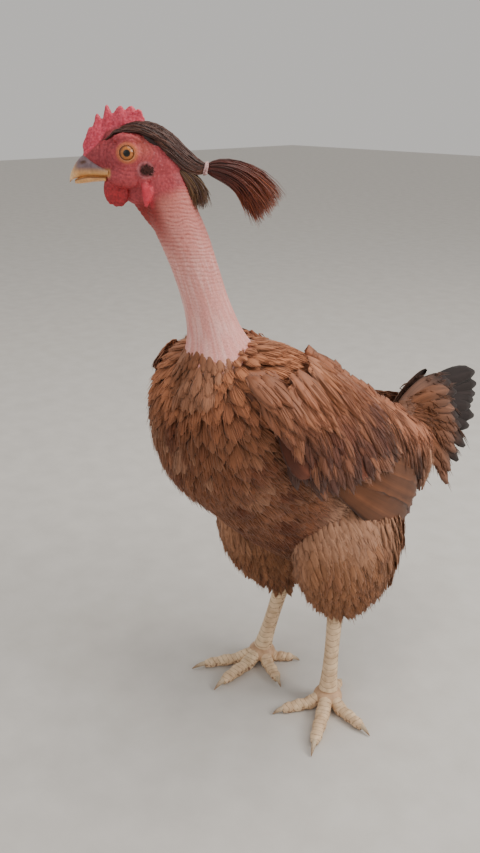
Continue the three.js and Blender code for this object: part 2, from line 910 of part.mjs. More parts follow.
for (const [side, leg] of Object.entries(legs)) {
  const thighSolid = largest(thighs[side].subtract(puffed(body)));
  const shankSolid = shank(leg, thighs[side]);
  add(bodyGroup, `thigh_${side}`, thighSolid, finish.russet);
  add(bodyGroup, `shank_${side}`, shankSolid, finish.scale);
  let taken = puffed(shankSolid).add(floor);
  for (const [toeName, size] of Object.entries(leg.toes)) {
    const whole = toe(leg, size);
    add(bodyGroup, `toe_${toeName}_${side}`, largest(whole.subtract(taken)), finish.scale);
    add(bodyGroup, `claw_${toeName}_${side}`, claw(leg, size, whole), finish.horn);
    taken = taken.add(puffed(whole));
  }
}

const headGroup = new THREE.Group();
headGroup.position.copy(headPivot);
headGroup.rotation.z = headTurn;
const eyes = [eye(1), eye(-1)];
const skull = head(eyes);
const skullRoom = puffed(skull);
const { upper, lower } = beaks(skull);
const wholeNeck = neck();
const neckSolid = largest(moved(wholeNeck.subtract(skullRoom), headMatrix).subtract(puffed(body)));
const neckRoom = puffed(wholeNeck);
const wholeComb = comb();
const patches = { left: earPatch(1), right: earPatch(-1) };
const patchRoom = joined(puffed(patches.left), puffed(patches.right));
const eyeRoom = joined(eyes.map((each) => puffed(each)));
const crestSolid = crest(joined(skullRoom, neckRoom, puffed(wholeComb), patchRoom, eyeRoom));
add(bodyGroup, "neck", neckSolid, finish.bareSkin);
add(headGroup, "head", skull, finish.face);
add(headGroup, "eye_left", eyes[0], finish.eye);
add(headGroup, "eye_right", eyes[1], finish.eye);
add(headGroup, "beak_upper", upper, finish.horn);
add(headGroup, "beak_lower", lower, finish.horn);
add(headGroup, "comb", largest(wholeComb.subtract(skullRoom).subtract(puffed(upper))), finish.comb);
for (const [side, sign] of [["left", 1], ["right", -1]]) {
  add(headGroup, `wattle_${side}`, wattle(sign, skull), finish.comb);
  const patch = largest(patches[side].subtract(skullRoom).subtract(neckRoom));
  add(headGroup, `ear_patch_${side}`, patch, finish.tuft);
  add(headGroup, `ear_lobe_${side}`, earLobe(sign, skullRoom.add(neckRoom)), finish.comb);
}
add(headGroup, "crest", crestSolid, finish.tuft);
add(headGroup, "hair_tie", hairTie(), finish.elastic);
add(headGroup, "plume", plume(), finish.tuft);
hen.add(bodyGroup, headGroup);

// The origin lies on the floor under the middle of the whole bird.
hen.updateMatrixWorld(true);
const reach = new THREE.Box3().setFromObject(hen, true);
const middle = reach.getCenter(new THREE.Vector3());
bodyGroup.position.set(-middle.x, -middle.y, 0);
headGroup.position.add(bodyGroup.position);

export default hen;
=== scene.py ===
import itertools
import math
import bpy
import numpy as np
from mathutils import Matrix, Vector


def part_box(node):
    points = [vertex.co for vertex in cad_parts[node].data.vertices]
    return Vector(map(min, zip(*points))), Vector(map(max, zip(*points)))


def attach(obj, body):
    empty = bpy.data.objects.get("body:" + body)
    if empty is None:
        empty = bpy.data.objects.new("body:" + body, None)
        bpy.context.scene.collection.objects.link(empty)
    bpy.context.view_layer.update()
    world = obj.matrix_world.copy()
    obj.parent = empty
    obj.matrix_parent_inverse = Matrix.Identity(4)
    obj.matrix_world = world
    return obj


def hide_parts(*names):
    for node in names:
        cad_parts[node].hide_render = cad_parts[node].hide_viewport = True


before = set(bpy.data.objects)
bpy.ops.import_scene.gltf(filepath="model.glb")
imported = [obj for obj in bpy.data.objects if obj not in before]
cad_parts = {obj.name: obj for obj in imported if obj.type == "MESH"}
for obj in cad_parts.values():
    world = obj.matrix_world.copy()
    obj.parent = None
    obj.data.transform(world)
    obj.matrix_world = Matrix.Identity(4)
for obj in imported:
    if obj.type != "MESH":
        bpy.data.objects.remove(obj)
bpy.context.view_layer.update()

# Naked neck hen at life size. Shapes are worked out in millimetres on the standing bird: +Z up, -Y where the
# breast faces, +X its left. The head has its own frame, turned to the bird's right, -Y forward of the eyes.
headTurn = math.radians(-42)
headPivot = np.array([-34.3, -127.8, 454.8])
eyeCorners = np.array([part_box("eye_left"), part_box("eye_right")]).reshape(-1, 3)
shift = (eyeCorners.min(axis=0) + eyeCorners.max(axis=0)) / 2 - headPivot * 0.001
print("stage: frame")


# Small helpers

def fromSrgb(red, green, blue):
    value = np.array([red, green, blue]) / 255
    return np.where(value < 0.04045, value / 12.92, ((value + 0.055) / 1.055) ** 2.4)


def unit(vectors):
    return vectors / np.maximum(np.linalg.norm(vectors, axis=-1, keepdims=True), 1e-9)


def stacked(*values):  # values side by side on a last axis, stretched to one shape
    return np.stack(np.broadcast_arrays(*values), axis=-1)


def fullTurn(count):  # angles once round, the last one short of the first
    return np.linspace(0, 2 * math.pi, count, endpoint=False)


def arcLength(line):  # the length along a line up to each of its points
    return np.concatenate([[0], np.cumsum(np.linalg.norm(np.diff(line, axis=0), axis=1))])


def laidOn(direction, normal):  # a direction turned to lie on the surface with that normal
    return unit(direction - normal * np.sum(direction * normal, axis=-1, keepdims=True))


def aroundRing(ring, marks, at):  # points on a closed ring; marks are its own points' places among at
    if len(marks) == len(ring):
        marks = np.append(marks, 2 * math.pi)
    loop = np.concatenate([ring, ring[:1]])
    return stacked(*(np.interp(at, marks, loop[:, c]) for c in range(3)))


def mix(a, b, share):
    return a + (b - a) * share


def ease(low, high, value):  # 0 below low, 1 above high
    t = np.clip((value - low) / (high - low), 0, 1)
    return t * t * (3 - 2 * t)


def headToBird(points):
    c, s = math.cos(headTurn), math.sin(headTurn)
    x, y, z = points[..., 0], points[..., 1], points[..., 2]
    return stacked(c * x - s * y, s * x + c * y, z) + headPivot


def birdToHead(points):
    c, s = math.cos(headTurn), math.sin(headTurn)
    x, y, z = np.moveaxis(points - headPivot, -1, 0)
    return stacked(c * x + s * y, -s * x + c * y, z)


def track(rows, t):  # smooth values through the rows, t from 0 to 1
    rows = np.asarray(rows, float)
    place = np.clip(np.asarray(t, float), 0, 1) * (len(rows) - 1)
    i = np.minimum(place.astype(int), len(rows) - 2)
    f = (place - i)[..., None]
    a, b, d, e = rows[np.maximum(i - 1, 0)], rows[i], rows[i + 1], rows[np.minimum(i + 2, len(rows) - 1)]
    bend = 2 * a - 5 * b + 4 * d - e
    twist = 3 * b - a - 3 * d + e
    return 0.5 * (2 * b + (d - a) * f + bend * f ** 2 + twist * f ** 3)


def scatter(cells, seed):  # a random value from 0 to 1 for each whole-numbered cell
    x, y, z = np.moveaxis(cells.astype(np.int64), -1, 0)
    h = (x * 374761393 + y * 668265263 + z * 1442695041 + seed * 1274126177) & 0xFFFFFFFF
    h = ((h ^ (h >> 13)) * 1274126177) & 0xFFFFFFFF
    h = ((h ^ (h >> 16)) * 668265263) & 0xFFFFFFFF
    return (h ^ (h >> 15)) / 0xFFFFFFFF


def softNoise(points, size, seed=0):  # smooth random values from 0 to 1, in cells of that size
    p = np.asarray(points, float) / size + seed * 17.31
    cell = np.floor(p).astype(np.int64)
    f = p - cell
    f = f * f * (3 - 2 * f)
    total = np.zeros(p.shape[:-1])
    for corner in range(8):
        bits = np.array([corner & 1, corner >> 1 & 1, corner >> 2])
        total += np.prod(np.where(bits, f, 1 - f), axis=-1) * scatter(cell + bits, seed)
    return total


def meshObject(name, points, faces, uvMaps=None, tint=None):  # points in bird millimetres, faces triangles
    mesh = bpy.data.meshes.new(name)
    co = np.asarray(points, float).reshape(-1, 3) * 0.001 + shift
    count = len(faces)
    mesh.vertices.add(len(co))
    mesh.vertices.foreach_set("co", co.ravel())
    mesh.loops.add(count * 3)
    mesh.loops.foreach_set("vertex_index", faces.astype(np.int32).ravel())
    mesh.polygons.add(count)
    mesh.polygons.foreach_set("loop_start", np.arange(0, count * 3, 3, dtype=np.int32))
    mesh.update(calc_edges=True)
    for uvName, uv in (uvMaps or {}).items():
        layer = mesh.uv_layers.new(name=uvName)
        layer.data.foreach_set("uv", np.asarray(uv, float).reshape(-1, 2)[faces.ravel()].ravel())
    if tint is not None:
        colour = mesh.attributes.new("tint", "FLOAT_COLOR", "POINT")
        rgba = np.ones((len(co), 4))
        rgba[:, :3] = np.asarray(tint, float).reshape(-1, 3)
        colour.data.foreach_set("color", rgba.ravel())
    mesh.polygons.foreach_set("use_smooth", np.full(len(mesh.polygons), True))
    mesh.validate()
    made = bpy.data.objects.new(name, mesh)
    bpy.context.collection.objects.link(made)
    return made


def tubeFaces(tubes, rings, around):  # triangles of closed tubes, points ordered tube, ring, around
    i, j = np.meshgrid(np.arange(rings - 1), np.arange(around), indexing="ij")
    a, b = i * around + j, i * around + (j + 1) % around
    walls = stacked(a, a + around, b, b, a + around, b + around).reshape(-1, 3)
    k = np.arange(1, around - 1)
    root = stacked(0, k, k + 1)
    tip = stacked(0, k + 1, k) + (rings - 1) * around
    one = np.concatenate([walls, root, tip])
    return (one[None] + np.arange(tubes)[:, None, None] * rings * around).reshape(-1, 3)


def limbRings(stations, across, around, steps):  # rings of a limb, and how far along and around each point is
    t = np.linspace(0, 1, steps)
    row = track(stations, t)
    ahead = track(stations, t + 0.01)[:, :3] - track(stations, t - 0.01)[:, :3]
    along = unit(ahead)
    side = unit(across - along * (along @ across)[:, None])
    front = np.cross(along, side)
    angle = fullTurn(around)
    rings = (row[:, None, :3] + side[:, None] * (row[:, None, 3:4] * np.sin(angle)[None, :, None])
             + front[:, None] * (row[:, None, 4:5] * np.cos(angle)[None, :, None]))
    return rings, t, angle


def shaped(rings):  # a rounded mesh of one closed tube
    return rings.reshape(-1, 3), tubeFaces(1, rings.shape[0], rings.shape[1])


def ballPoints(centre, radii, wide=32, high=20):
    v = np.linspace(0.02, math.pi - 0.02, high)[:, None]
    u = fullTurn(wide)[None]
    shape = stacked(np.sin(v) * np.cos(u), np.sin(v) * np.sin(u), np.cos(v))
    return shaped(shape[::-1] * np.asarray(radii, float) + np.asarray(centre, float))


def closedLoop(points):  # triangles of a ring of rings
    n, m = points.shape[:2]
    i, j = np.meshgrid(np.arange(n), np.arange(m), indexing="ij")
    a0, b0 = i * m + j, i * m + (j + 1) % m
    a1, b1 = (i + 1) % n * m + j, (i + 1) % n * m + (j + 1) % m
    return points.reshape(-1, 3), stacked(a0, a1, b0, b0, a1, b1).reshape(-1, 3)


def joinedParts(parts):
    points, faces, start = [], [], 0
    for p, f in parts:
        points.append(p)
        faces.append(f + start)
        start += len(p)
    return np.concatenate(points), np.concatenate(faces)


def fused(name, parts, voxel, smoothing):  # one closed skin over the parts: points, normals, triangles
    points, faces = joinedParts(parts)
    made = meshObject(name, points, faces)
    remesh = made.modifiers.new("fuse", "REMESH")
    remesh.mode = "VOXEL"
    remesh.voxel_size = voxel * 0.001
    soften = made.modifiers.new("soften", "SMOOTH")
    soften.factor = 0.5
    soften.iterations = smoothing
    evaluated = made.evaluated_get(bpy.context.evaluated_depsgraph_get())
    mesh = evaluated.to_mesh()
    co = np.empty(len(mesh.vertices) * 3)
    mesh.vertices.foreach_get("co", co)
    normal = np.empty(len(mesh.vertices) * 3)
    mesh.vertices.foreach_get("normal", normal)
    mesh.calc_loop_triangles()
    triangles = np.empty(len(mesh.loop_triangles) * 3, dtype=np.int32)
    mesh.loop_triangles.foreach_get("vertices", triangles)
    evaluated.to_mesh_clear()
    bpy.data.objects.remove(made)
    return (co.reshape(-1, 3) - shift) * 1000, normal.reshape(-1, 3), triangles.reshape(-1, 3)


# Node helpers for the materials

def newMaterial(name, roughness, specular=0.5, coat=0.0, coatRoughness=0.1, sheen=0.0, subsurface=0.0):
    material = bpy.data.materials.new(name)
    material.use_nodes = True
    shader = material.node_tree.nodes["Principled BSDF"]
    settings = {"Roughness": roughness, "Specular IOR Level": specular, "Coat Weight": coat,
                "Coat Roughness": coatRoughness, "Sheen Weight": sheen, "Subsurface Weight": subsurface,
                "Subsurface Scale": 0.003}
    for socket, value in settings.items():
        shader.inputs[socket].default_value = value
    return material, material.node_tree, shader


def tintNode(tree):
    tint = tree.nodes.new("ShaderNodeAttribute")
    tint.attribute_name = "tint"
    return tint.outputs["Color"]


def noiseNode(tree, scale, detail, vector=None, stretch=None):
    coordinates = tree.nodes.new("ShaderNodeTexCoord")
    source = vector or coordinates.outputs["Object"]
    if stretch:
        mapping = tree.nodes.new("ShaderNodeMapping")
        mapping.inputs["Scale"].default_value = stretch
        tree.links.new(source, mapping.inputs["Vector"])
        source = mapping.outputs["Vector"]
    noise = tree.nodes.new("ShaderNodeTexNoise")
    noise.inputs["Scale"].default_value = scale
    noise.inputs["Detail"].default_value = detail
    tree.links.new(source, noise.inputs["Vector"])
    return noise.outputs["Fac"]


def rampNode(tree, value, stops):
    ramp = tree.nodes.new("ShaderNodeValToRGB")
    while len(ramp.color_ramp.elements) < len(stops):
        ramp.color_ramp.elements.new(0.5)
    for element, (place, colour) in zip(ramp.color_ramp.elements, stops):
        element.position = place
        element.color = (*colour, 1)
    tree.links.new(value, ramp.inputs["Fac"])
    return ramp.outputs["Color"]


def timesNode(tree, a, b):
    blend = tree.nodes.new("ShaderNodeMix")
    blend.data_type = "RGBA"
    blend.blend_type = "MULTIPLY"
    blend.inputs["Factor"].default_value = 1.0
    tree.links.new(a, blend.inputs[6])
    tree.links.new(b, blend.inputs[7])
    return blend.outputs[2]


def bumpNode(tree, shader, height, strength, distance):
    bump = tree.nodes.new("ShaderNodeBump")
    bump.inputs["Strength"].default_value = strength
    bump.inputs["Distance"].default_value = distance
    tree.links.new(height, bump.inputs["Height"])
    tree.links.new(bump.outputs["Normal"], shader.inputs["Normal"])


def mottled(name, roughness, specular, grain, stops, bump=None, tinted=True, **more):
    # a colour broken up by a noise of that scale and detail; bump is scale, detail, strength and depth
    material, tree, shader = newMaterial(name, roughness, specular, **more)
    colour = rampNode(tree, noiseNode(tree, *grain), stops)
    if tinted:
        colour = timesNode(tree, tintNode(tree), colour)
    tree.links.new(colour, shader.inputs["Base Color"])
    if bump:
        scale, detail, strength, depth = bump
        bumpNode(tree, shader, noiseNode(tree, scale, detail), strength, depth)
    return material


def finishPiece(piece, material, nodes):
    piece.data.materials.append(material)
    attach(piece, "root")
    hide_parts(*nodes)


# Camera and light

view = {
    "turn": 48.0,  # degrees round the bird from straight ahead of it towards its left
    "tilt": 21.0,
    "place": (445.38, -464.81, 490.0),
    "sensor": 36.0,
    "focal": 870.0 / 853.0,  # in heights of the picture
}
light = {
    "sky": 0.6,
    "skyColour": (1.0, 0.97, 0.93),
    "aim": (0, 0, 0.25),
    "lamps": {  # place, size, power and colour
        "topLight": ((0.25, 0.35, 1.7), 1.3, 17.0, (1.0, 0.96, 0.9)),
        "sideLight": ((1.3, 0.6, 1.1), 0.7, 15.0, (1.0, 0.97, 0.93)),
        "frontLight": ((0.2, -1.6, 0.9), 1.2, 3.5, (0.95, 0.97, 1.0)),
    },
}
floorHalf = 6.0
floorLook = {
    "roughness": 0.85,
    "specular": 0.2,
    "grain": (30.0, 6.0),
    "stops": [(0.3, (0.60, 0.575, 0.54)), (0.7, (0.66, 0.635, 0.6))],
    "tinted": False,
}


def makeCamera():
    data = bpy.data.cameras.new("photoCamera")
    data.sensor_fit = "VERTICAL"
    data.sensor_height = view["sensor"]
    data.lens = view["focal"] * view["sensor"]
    data.clip_start = 0.02
    camera = bpy.data.objects.new("photoCamera", data)
    camera.location = np.array(view["place"]) * 0.001 + shift
    camera.rotation_euler = (math.radians(90 - view["tilt"]), 0, math.radians(view["turn"]))
    bpy.context.collection.objects.link(camera)
    bpy.context.scene.camera = camera


def makeLight():
    world = bpy.data.worlds.new("studio")
    bpy.context.scene.world = world
    world.use_nodes = True
    background = world.node_tree.nodes["Background"]
    background.inputs["Color"].default_value = (*light["skyColour"], 1)
    background.inputs["Strength"].default_value = light["sky"]
    for name, (place, size, power, colour) in light["lamps"].items():
        data = bpy.data.lights.new(name, "AREA")
        data.size = size
        data.energy = power
        data.color = colour
        lamp = bpy.data.objects.new(name, data)
        lamp.location = place
        aim = np.array(light["aim"]) - np.array(place)
        lean = math.acos(-aim[2] / np.linalg.norm(aim))
        lamp.rotation_euler = (lean, 0, math.atan2(aim[1], aim[0]) - math.pi / 2)
        bpy.context.collection.objects.link(lamp)


def makeFloor():
    mesh = bpy.data.meshes.new("floor")
    corners = [(x * floorHalf, y * floorHalf, 0) for x, y in ((-1, -1), (1, -1), (1, 1), (-1, 1))]
    mesh.from_pydata(corners, [], [(0, 1, 2, 3)])
    floor = bpy.data.objects.new("floor", mesh)
    bpy.context.collection.objects.link(floor)
    mesh.materials.append(mottled("paleFloor", **floorLook))


makeCamera()
makeLight()
makeFloor()
print("stage: camera and light")


# Colours of the plumage

plumage = {
    "back": fromSrgb(152, 94, 66),
    "breast": fromSrgb(128, 80, 54),
    "breastRed": fromSrgb(102, 54, 34),
    "breastPale": fromSrgb(190, 146, 118),
    "thigh": fromSrgb(144, 98, 68),
    "rear": fromSrgb(112, 68, 42),
    "ruff": fromSrgb(156, 108, 82),
    "fluff": fromSrgb(190, 146, 120),
    "wing": fromSrgb(106, 58, 42),
    "wingDark": fromSrgb(74, 36, 22),
    # wingPale also serves as a painted highlight on the shoulders, the tops of the wing lances and the saddle
    "wingPale": fromSrgb(186, 122, 86),
    "flight": fromSrgb(98, 58, 34),
    "tail": fromSrgb(40, 31, 30),
    "tailPale": fromSrgb(112, 78, 62),
}
neckBase = np.array([-4.0, -72.0, 318.0])


def plumageColour(points, normals):
    a = softNoise(points, 15.0, 1)[..., None]
    b = softNoise(points, 9.0, 2)[..., None]
    c = softNoise(points, 26.0, 3)[..., None]
    x, y, z = np.moveaxis(points, -1, 0)
    up = normals[..., 2]
    colour = mix(plumage["breast"], plumage["breastRed"], ease(0.42, 0.7, a) * 0.8)
    pale = ease(0.62, 0.8, b) * ease(-30, -80, y)[..., None] * ease(210, 250, z)[..., None]
    colour = mix(colour, plumage["breastPale"], pale * 0.4)
    back = ease(0.15, 0.6, up)[..., None] * ease(220, 262, z)[..., None]
    colour = mix(colour, mix(plumage["back"], plumage["wing"], ease(0.4, 0.7, c) * 0.6), back)
    rear = ease(70, 110, y)[..., None] * (1 - back)
    colour = mix(colour, plumage["rear"], rear)
    low = ease(205, 165, z)[..., None] * ease(-60, -10, y)[..., None]
    colour = mix(colour, plumage["thigh"], low * 0.85)
    under = np.exp(-((z - 190 + 0.7 * (y + 5)) / 25) ** 2)  # pale fluff above the thighs
    under = under * ease(-55, -30, y) * ease(70, 45, y) * ease(30, 50, np.abs(x))
    colour = mix(colour, plumage["fluff"], (under * (0.6 + 0.4 * a[..., 0]))[..., None])
    around = np.linalg.norm((points - neckBase) * np.array([1, 1, 0.9]), axis=-1)[..., None]
    # painted highlight: up-facing coat round the base of the neck is mixed toward the pale wing colour
    shoulderHighlight = ease(0.1, 0.5, up)[..., None] * ease(64, 40, around)
    colour = mix(colour, plumage["wingPale"], shoulderHighlight * 0.75)
    return mix(colour, plumage["ruff"], ease(36, 24, around) * 0.6)


# The skin under the coat: torso and thighs

torsoSize = {
    "rows": [  # y, lowest z, highest z, half width
        [-126, 250, 270, 10], [-123, 239, 292, 25], [-113, 223, 311, 43], [-97, 205, 328, 57],
        [-71, 178, 336, 66], [-38, 148, 325, 70], [0, 122, 304, 71], [35, 111, 279, 67], [70, 117, 257, 59],
        [98, 132, 245, 48], [122, 156, 239, 34], [136, 183, 235, 19], [141, 202, 227, 8],
    ],
    "middle": 0.54,
    "upperPower": 2.4,
    "lowerPower": 1.85,
    "coat": 7.0,  # depth of the feathers
    "voxel": 3.2,
}


def torsoPoint(t, angle, inset):
    y, low, high, half = np.moveaxis(track(torsoSize["rows"], t), -1, 0)
    low, high, half = low + inset, high - inset, np.maximum(half - inset, 1.5)
    y = y + inset * ease(0.25, 0, t) - inset * ease(0.75, 1, t)
    centre = mix(low, high, torsoSize["middle"])
    upper = np.cos(angle) > 0
    power = 2 / np.where(upper, torsoSize["upperPower"], torsoSize["lowerPower"])
    rise = np.where(upper, high - centre, centre - low)
    s, c = np.sin(angle), np.cos(angle)
    return stacked(half * np.sign(s) * np.abs(s) ** power, y,
                   centre + rise * np.sign(c) * np.abs(c) ** power)


def torsoNormal(t, angle, inset):
    d = 0.004
    along = torsoPoint(t + d, angle, inset) - torsoPoint(t - d, angle, inset)
    about = torsoPoint(t, angle + 0.02, inset) - torsoPoint(t, angle - 0.02, inset)
    return unit(np.cross(about, along))


def flankPoint(y, z, lift):  # a point over the left side of the torso
    t = np.linspace(0, 1, 400)
    rows = track(torsoSize["rows"], t)
    low, high, half = (np.interp(np.clip(y, -122, 118), rows[:, 0], rows[:, k]) for k in (1, 2, 3))
    centre = mix(low, high, torsoSize["middle"])
    upper = z > centre
    power = np.where(upper, torsoSize["upperPower"], torsoSize["lowerPower"])
    share = np.minimum(np.abs(z - centre) / np.where(upper, high - centre, centre - low), 0.93)
    return stacked(half * (1 - share ** power) ** (1 / power) + lift, y, z)


legSize = {
    "left": {
        "thigh": [[40, 6, 200, 30, 50], [43, 14, 164, 35, 58], [44, 18, 132, 30, 45], [40, 16, 108, 18, 25],
                  [36.5, 13, 92, 11, 12.5], [35.5, 12.5, 85, 8.6, 9.4]],
        "hock": [35, 13, 99],
        "foot": [40, 1],
        "toes": {"inner": (-24, 50, 5.4), "middle": (32, 68, 5.9), "outer": (84, 52, 5.3),
                 "hind": (-160, 34, 4.8)},  # direction, length, radius
    },
    "right": {
        "thigh": [[-40, 2, 200, 30, 50], [-40, 6, 164, 35, 54], [-38, 8, 130, 29, 40], [-33, 12, 105, 19, 25],
                  [-30, 13, 84, 12, 13.5], [-31, 11.5, 71, 8.6, 9.6]],
        "hock": [-27, 16, 95],
        "foot": [-44, 3],
        "toes": {"inner": (68, 46, 5.4), "middle": (6, 64, 5.9), "outer": (-27, 66, 5.3),
                 "hind": (130, 35, 4.8)},
    },
}
acrossBird = np.array([1.0, 0.0, 0.0])


def thinner(stations, depth):
    rows = np.array(stations, float)
    rows[:, 3:] = np.maximum(rows[:, 3:] - depth, np.minimum(rows[:, 3:], 6.5))
    return rows


def torsoRings(inset):
    t = np.linspace(0, 1, 70)[:, None]
    return torsoPoint(t, fullTurn(60)[None], inset)


wingShape = [  # y and z on the flank, half height, thickness
    [-103, 313, 6, 2], [-96, 309, 15, 6], [-77, 295, 26, 9], [-47, 272, 33, 9], [-15, 249, 34, 7.5],
    [12, 228, 26, 5], [34, 210, 12, 2.5],
]


def wingPad(side):
    t = np.linspace(0, 1, 24)[:, None]
    angle = fullTurn(28)[None]
    y, z, half, thick = np.moveaxis(track(wingShape, t[:, 0]), -1, 0)[:, :, None]
    span = (half - 3) * np.sin(angle)
    points = flankPoint(y + span * 0.5, z + span * 0.86, (thick - 4) * np.cos(angle) - 4)
    if side > 0:
        return shaped(points)
    return shaped(points[:, ::-1] * np.array([-1, 1, 1]))


# Head and neck, in the head's frame. Rows run from bill to nape: forward, highest z, lowest z, half width

headSize = {
    "skull": [
        [30, -1.6, -5.0, 2.6], [27, 1.6, -8, 5.2], [22.5, 5.2, -11.4, 7.4], [17, 8.2, -16, 8.9],
        [12, 10.5, -21, 10.4], [4, 13, -23.6, 12.4], [-5, 14.6, -25, 13.4], [-14, 14, -26, 13.8],
        [-23, 10.6, -25.5, 12.8], [-30, 5, -23, 10], [-34, -1, -19, 6.5], [-36, -6, -15, 2.5],
    ],
    "neck": [  # forward, z, half width seen from the side, half width seen from ahead
        [-20, -8, 13.4, 11.5], [-23, -24, 16.6, 14], [-27.5, -40, 16, 14.6], [-34.5, -57, 15.8, 14.8],
        [-41, -76, 15.2, 14.8], [-46.8, -96, 15.4, 15.2], [-51, -112, 17.4, 17.4], [-53.5, -124, 21, 21.5],
        [-55.5, -136, 27, 29], [-57, -152, 33, 36],
    ],
    "combTop": [
        (29.5, 3.5), (28.2, 8), (26, 11), (24.8, 14.6), (22.6, 14.6), (21, 18.6), (19.4, 23.2), (17.6, 20),
        (16.2, 18.8), (14.6, 24), (13.4, 28), (11.6, 25.4), (9.6, 22.4), (7.2, 25.4), (4.8, 27.4), (3, 26.4),
        (1.4, 24.8), (-0.6, 26.8), (-2.4, 27.4), (-3.8, 26), (-5, 24.4), (-6.6, 25.6), (-8.2, 24.6),
        (-10.4, 19.5), (-11.4, 15),
    ],
    "combBase": [(29.4, -3), (20, 2), (6, 9), (-11.2, 9)],
    "combThick": 2.9,
    "combWave": 0.8,
    "pebbles": 0.3,
    "wrinkles": 0.62,
    "voxel": 0.62,
    "eyeReach": 8.4,
    "eyeRadius": 7.2,
    "lids": [(13.3, 5.2, 1.0), (12.4, 6.5, 0.9)],  # reach to the side, radius, thickness
    "throat": ((0, 7, -26), (6.5, 12, 7.5)),
    "throatSkin": [[0, 3, -26, 3.6, 5], [0, 7.5, -33, 3.8, 5], [0, 12, -40, 3.4, 4.6], [0, 17, -48, 2.4, 3.4],
                   [0, 22, -56, 1.2, 2]],
    "pads": [  # brow, cheek and the ear's swelling: place and radii
        ((8.3, 1, 8.2), (5.6, 10.5, 3.9)),
        ((7.6, -2, -14.6), (5.8, 12, 7.4)),
        ((8.6, 11, -12), (5.4, 7, 7)),
    ],
    "flaps": [  # wattle, ear lobe and the fold behind it
        [[4.4, -12, -16, 2.4, 4.5], [5.2, -10.6, -20.5, 2.5, 7], [5.8, -9, -25.5, 2.4, 7.9],
         [6.2, -7.8, -30, 2, 6.6], [6.2, -7.2, -33.4, 1.1, 3]],
        [[10.2, 9.4, -17.5, 1.8, 1.9], [12.2, 10.6, -21.5, 2, 2.4], [12.9, 11.6, -25.5, 2.1, 3.0],
         [12.8, 11.2, -29.5, 1.7, 2.2], [12.2, 10.2, -33, 0.9, 1.2]],
        [[12.4, 13.6, -20.5, 1.5, 1.4], [13.2, 13.8, -24.5, 1.6, 1.7], [12.8, 12.8, -28.5, 1, 1.2]],
    ],
}


def headTube(rows, around, steps, power=1.0):
    t = np.linspace(0, 1, steps)[:, None]
    angle = fullTurn(around)[None]
    f, top, bottom, half = np.moveaxis(track(rows, t[:, 0]), -1, 0)[:, :, None]
    s, c = np.sin(angle), np.cos(angle)
    return stacked(half * np.sign(s) * np.abs(s) ** power, -f,
                   (top + bottom) / 2 + (top - bottom) / 2 * np.sign(c) * np.abs(c) ** power)


def combPoints():
    top, base = np.array(headSize["combTop"]), np.array(headSize["combBase"])
    f = np.linspace(29.4, -11.2, 96)
    high = np.interp(-f, -top[:, 0], top[:, 1])
    low = np.interp(-f, -base[:, 0], base[:, 1])
    level = np.array([0, 0.25, 0.5, 0.75, 0.92, 1.0])
    profile = np.array([1.5, 1.15, 0.85, 0.66, 0.5, 0.22])
    rings = []
    for k in range(len(f)):
        z = mix(low[k], high[k], level)
        end = min(1, 4 * min(k + 0.6, len(f) - k - 0.4) / len(f) + 0.35)
        half = headSize["combThick"] * profile * end
        bend = headSize["combWave"] * math.sin(f[k] * 0.34) * level
        rings.append(np.concatenate([stacked(half + bend, -f[k], z), stacked(bend - half, -f[k], z)[::-1]]))
    return shaped(np.array(rings)[::-1])


def lidRing(side, reach, wide, thick):
    a = fullTurn(40)[:, None]
    b = fullTurn(12)[None]
    radius = wide + thick * np.cos(b)
    points = stacked(side * (reach + thick * np.sin(b)), 1.07 * radius * np.cos(a), radius * np.sin(a))
    tilt = side * -0.12
    x, y = points[..., 0] - side * reach, points[..., 1].copy()
    points[..., 0] = side * reach + x * math.cos(tilt) - y * math.sin(tilt)
    points[..., 1] = x * math.sin(tilt) + y * math.cos(tilt)
    points, faces = closedLoop(points)
    return points, faces if side > 0 else faces[:, ::-1]


def flapPoints(rows):
    return shaped(limbRings(np.array(rows, float), acrossBird, 20, 16)[0])


def neckStations():
    return np.array([[0, -f, z, wide, plane] for f, z, plane, wide in headSize["neck"]], float)


def headParts():
    parts = [shaped(headTube(headSize["skull"], 48, 50))]
    parts.append(shaped(limbRings(neckStations(), acrossBird, 56, 90)[0]))
    parts.append(combPoints())
    parts.append(ballPoints(*headSize["throat"]))
    parts.append(flapPoints(headSize["throatSkin"]))
    for side in (1, -1):
        parts += [lidRing(side, *lid) for lid in headSize["lids"]]
        parts += [ballPoints((side * x, y, z), radii) for (x, y, z), radii in headSize["pads"]]
        parts += [flapPoints([[side * x, *rest] for x, *rest in rows]) for rows in headSize["flaps"]]
    return parts


def neckPlace(p):  # how far down the neck a point is, and its angle round it
    rows = np.array(headSize["neck"])
    line = track(rows, np.linspace(0, 1, 120))
    axis = stacked(0, -line[:, 0], line[:, 1])
    k = np.searchsorted(-axis[:, 2], -p[:, 2]).clip(0, 119)
    centre = axis[k]
    arc = arcLength(axis)
    offset = p - centre
    return arc[k] + (centre[:, 2] - p[:, 2]), np.arctan2(offset[:, 0], -offset[:, 1])


def nearestBumps(p, spacing, seed):  # rounded pebbles: 1 at a pebble's middle, 0 between pebbles
    warp = stacked(*(softNoise(p, 2.5, seed + k) for k in range(3)))
    warped = p + 0.5 * (warp - 0.5) * spacing
    cell = np.floor(warped / spacing).astype(np.int64)
    best = np.full(len(p), 9.0)
    for step in itertools.product((-1, 0, 1), repeat=3):
        near = cell + np.array(step)
        jitter = stacked(*(scatter(near, seed + k) for k in (31, 57, 91)))
        spot = (near + 0.1 + 0.8 * jitter) * spacing
        best = np.minimum(best, np.linalg.norm(spot - warped, axis=-1) / spacing)
    return np.clip(1 - (best / 0.72) ** 2, 0, 1)


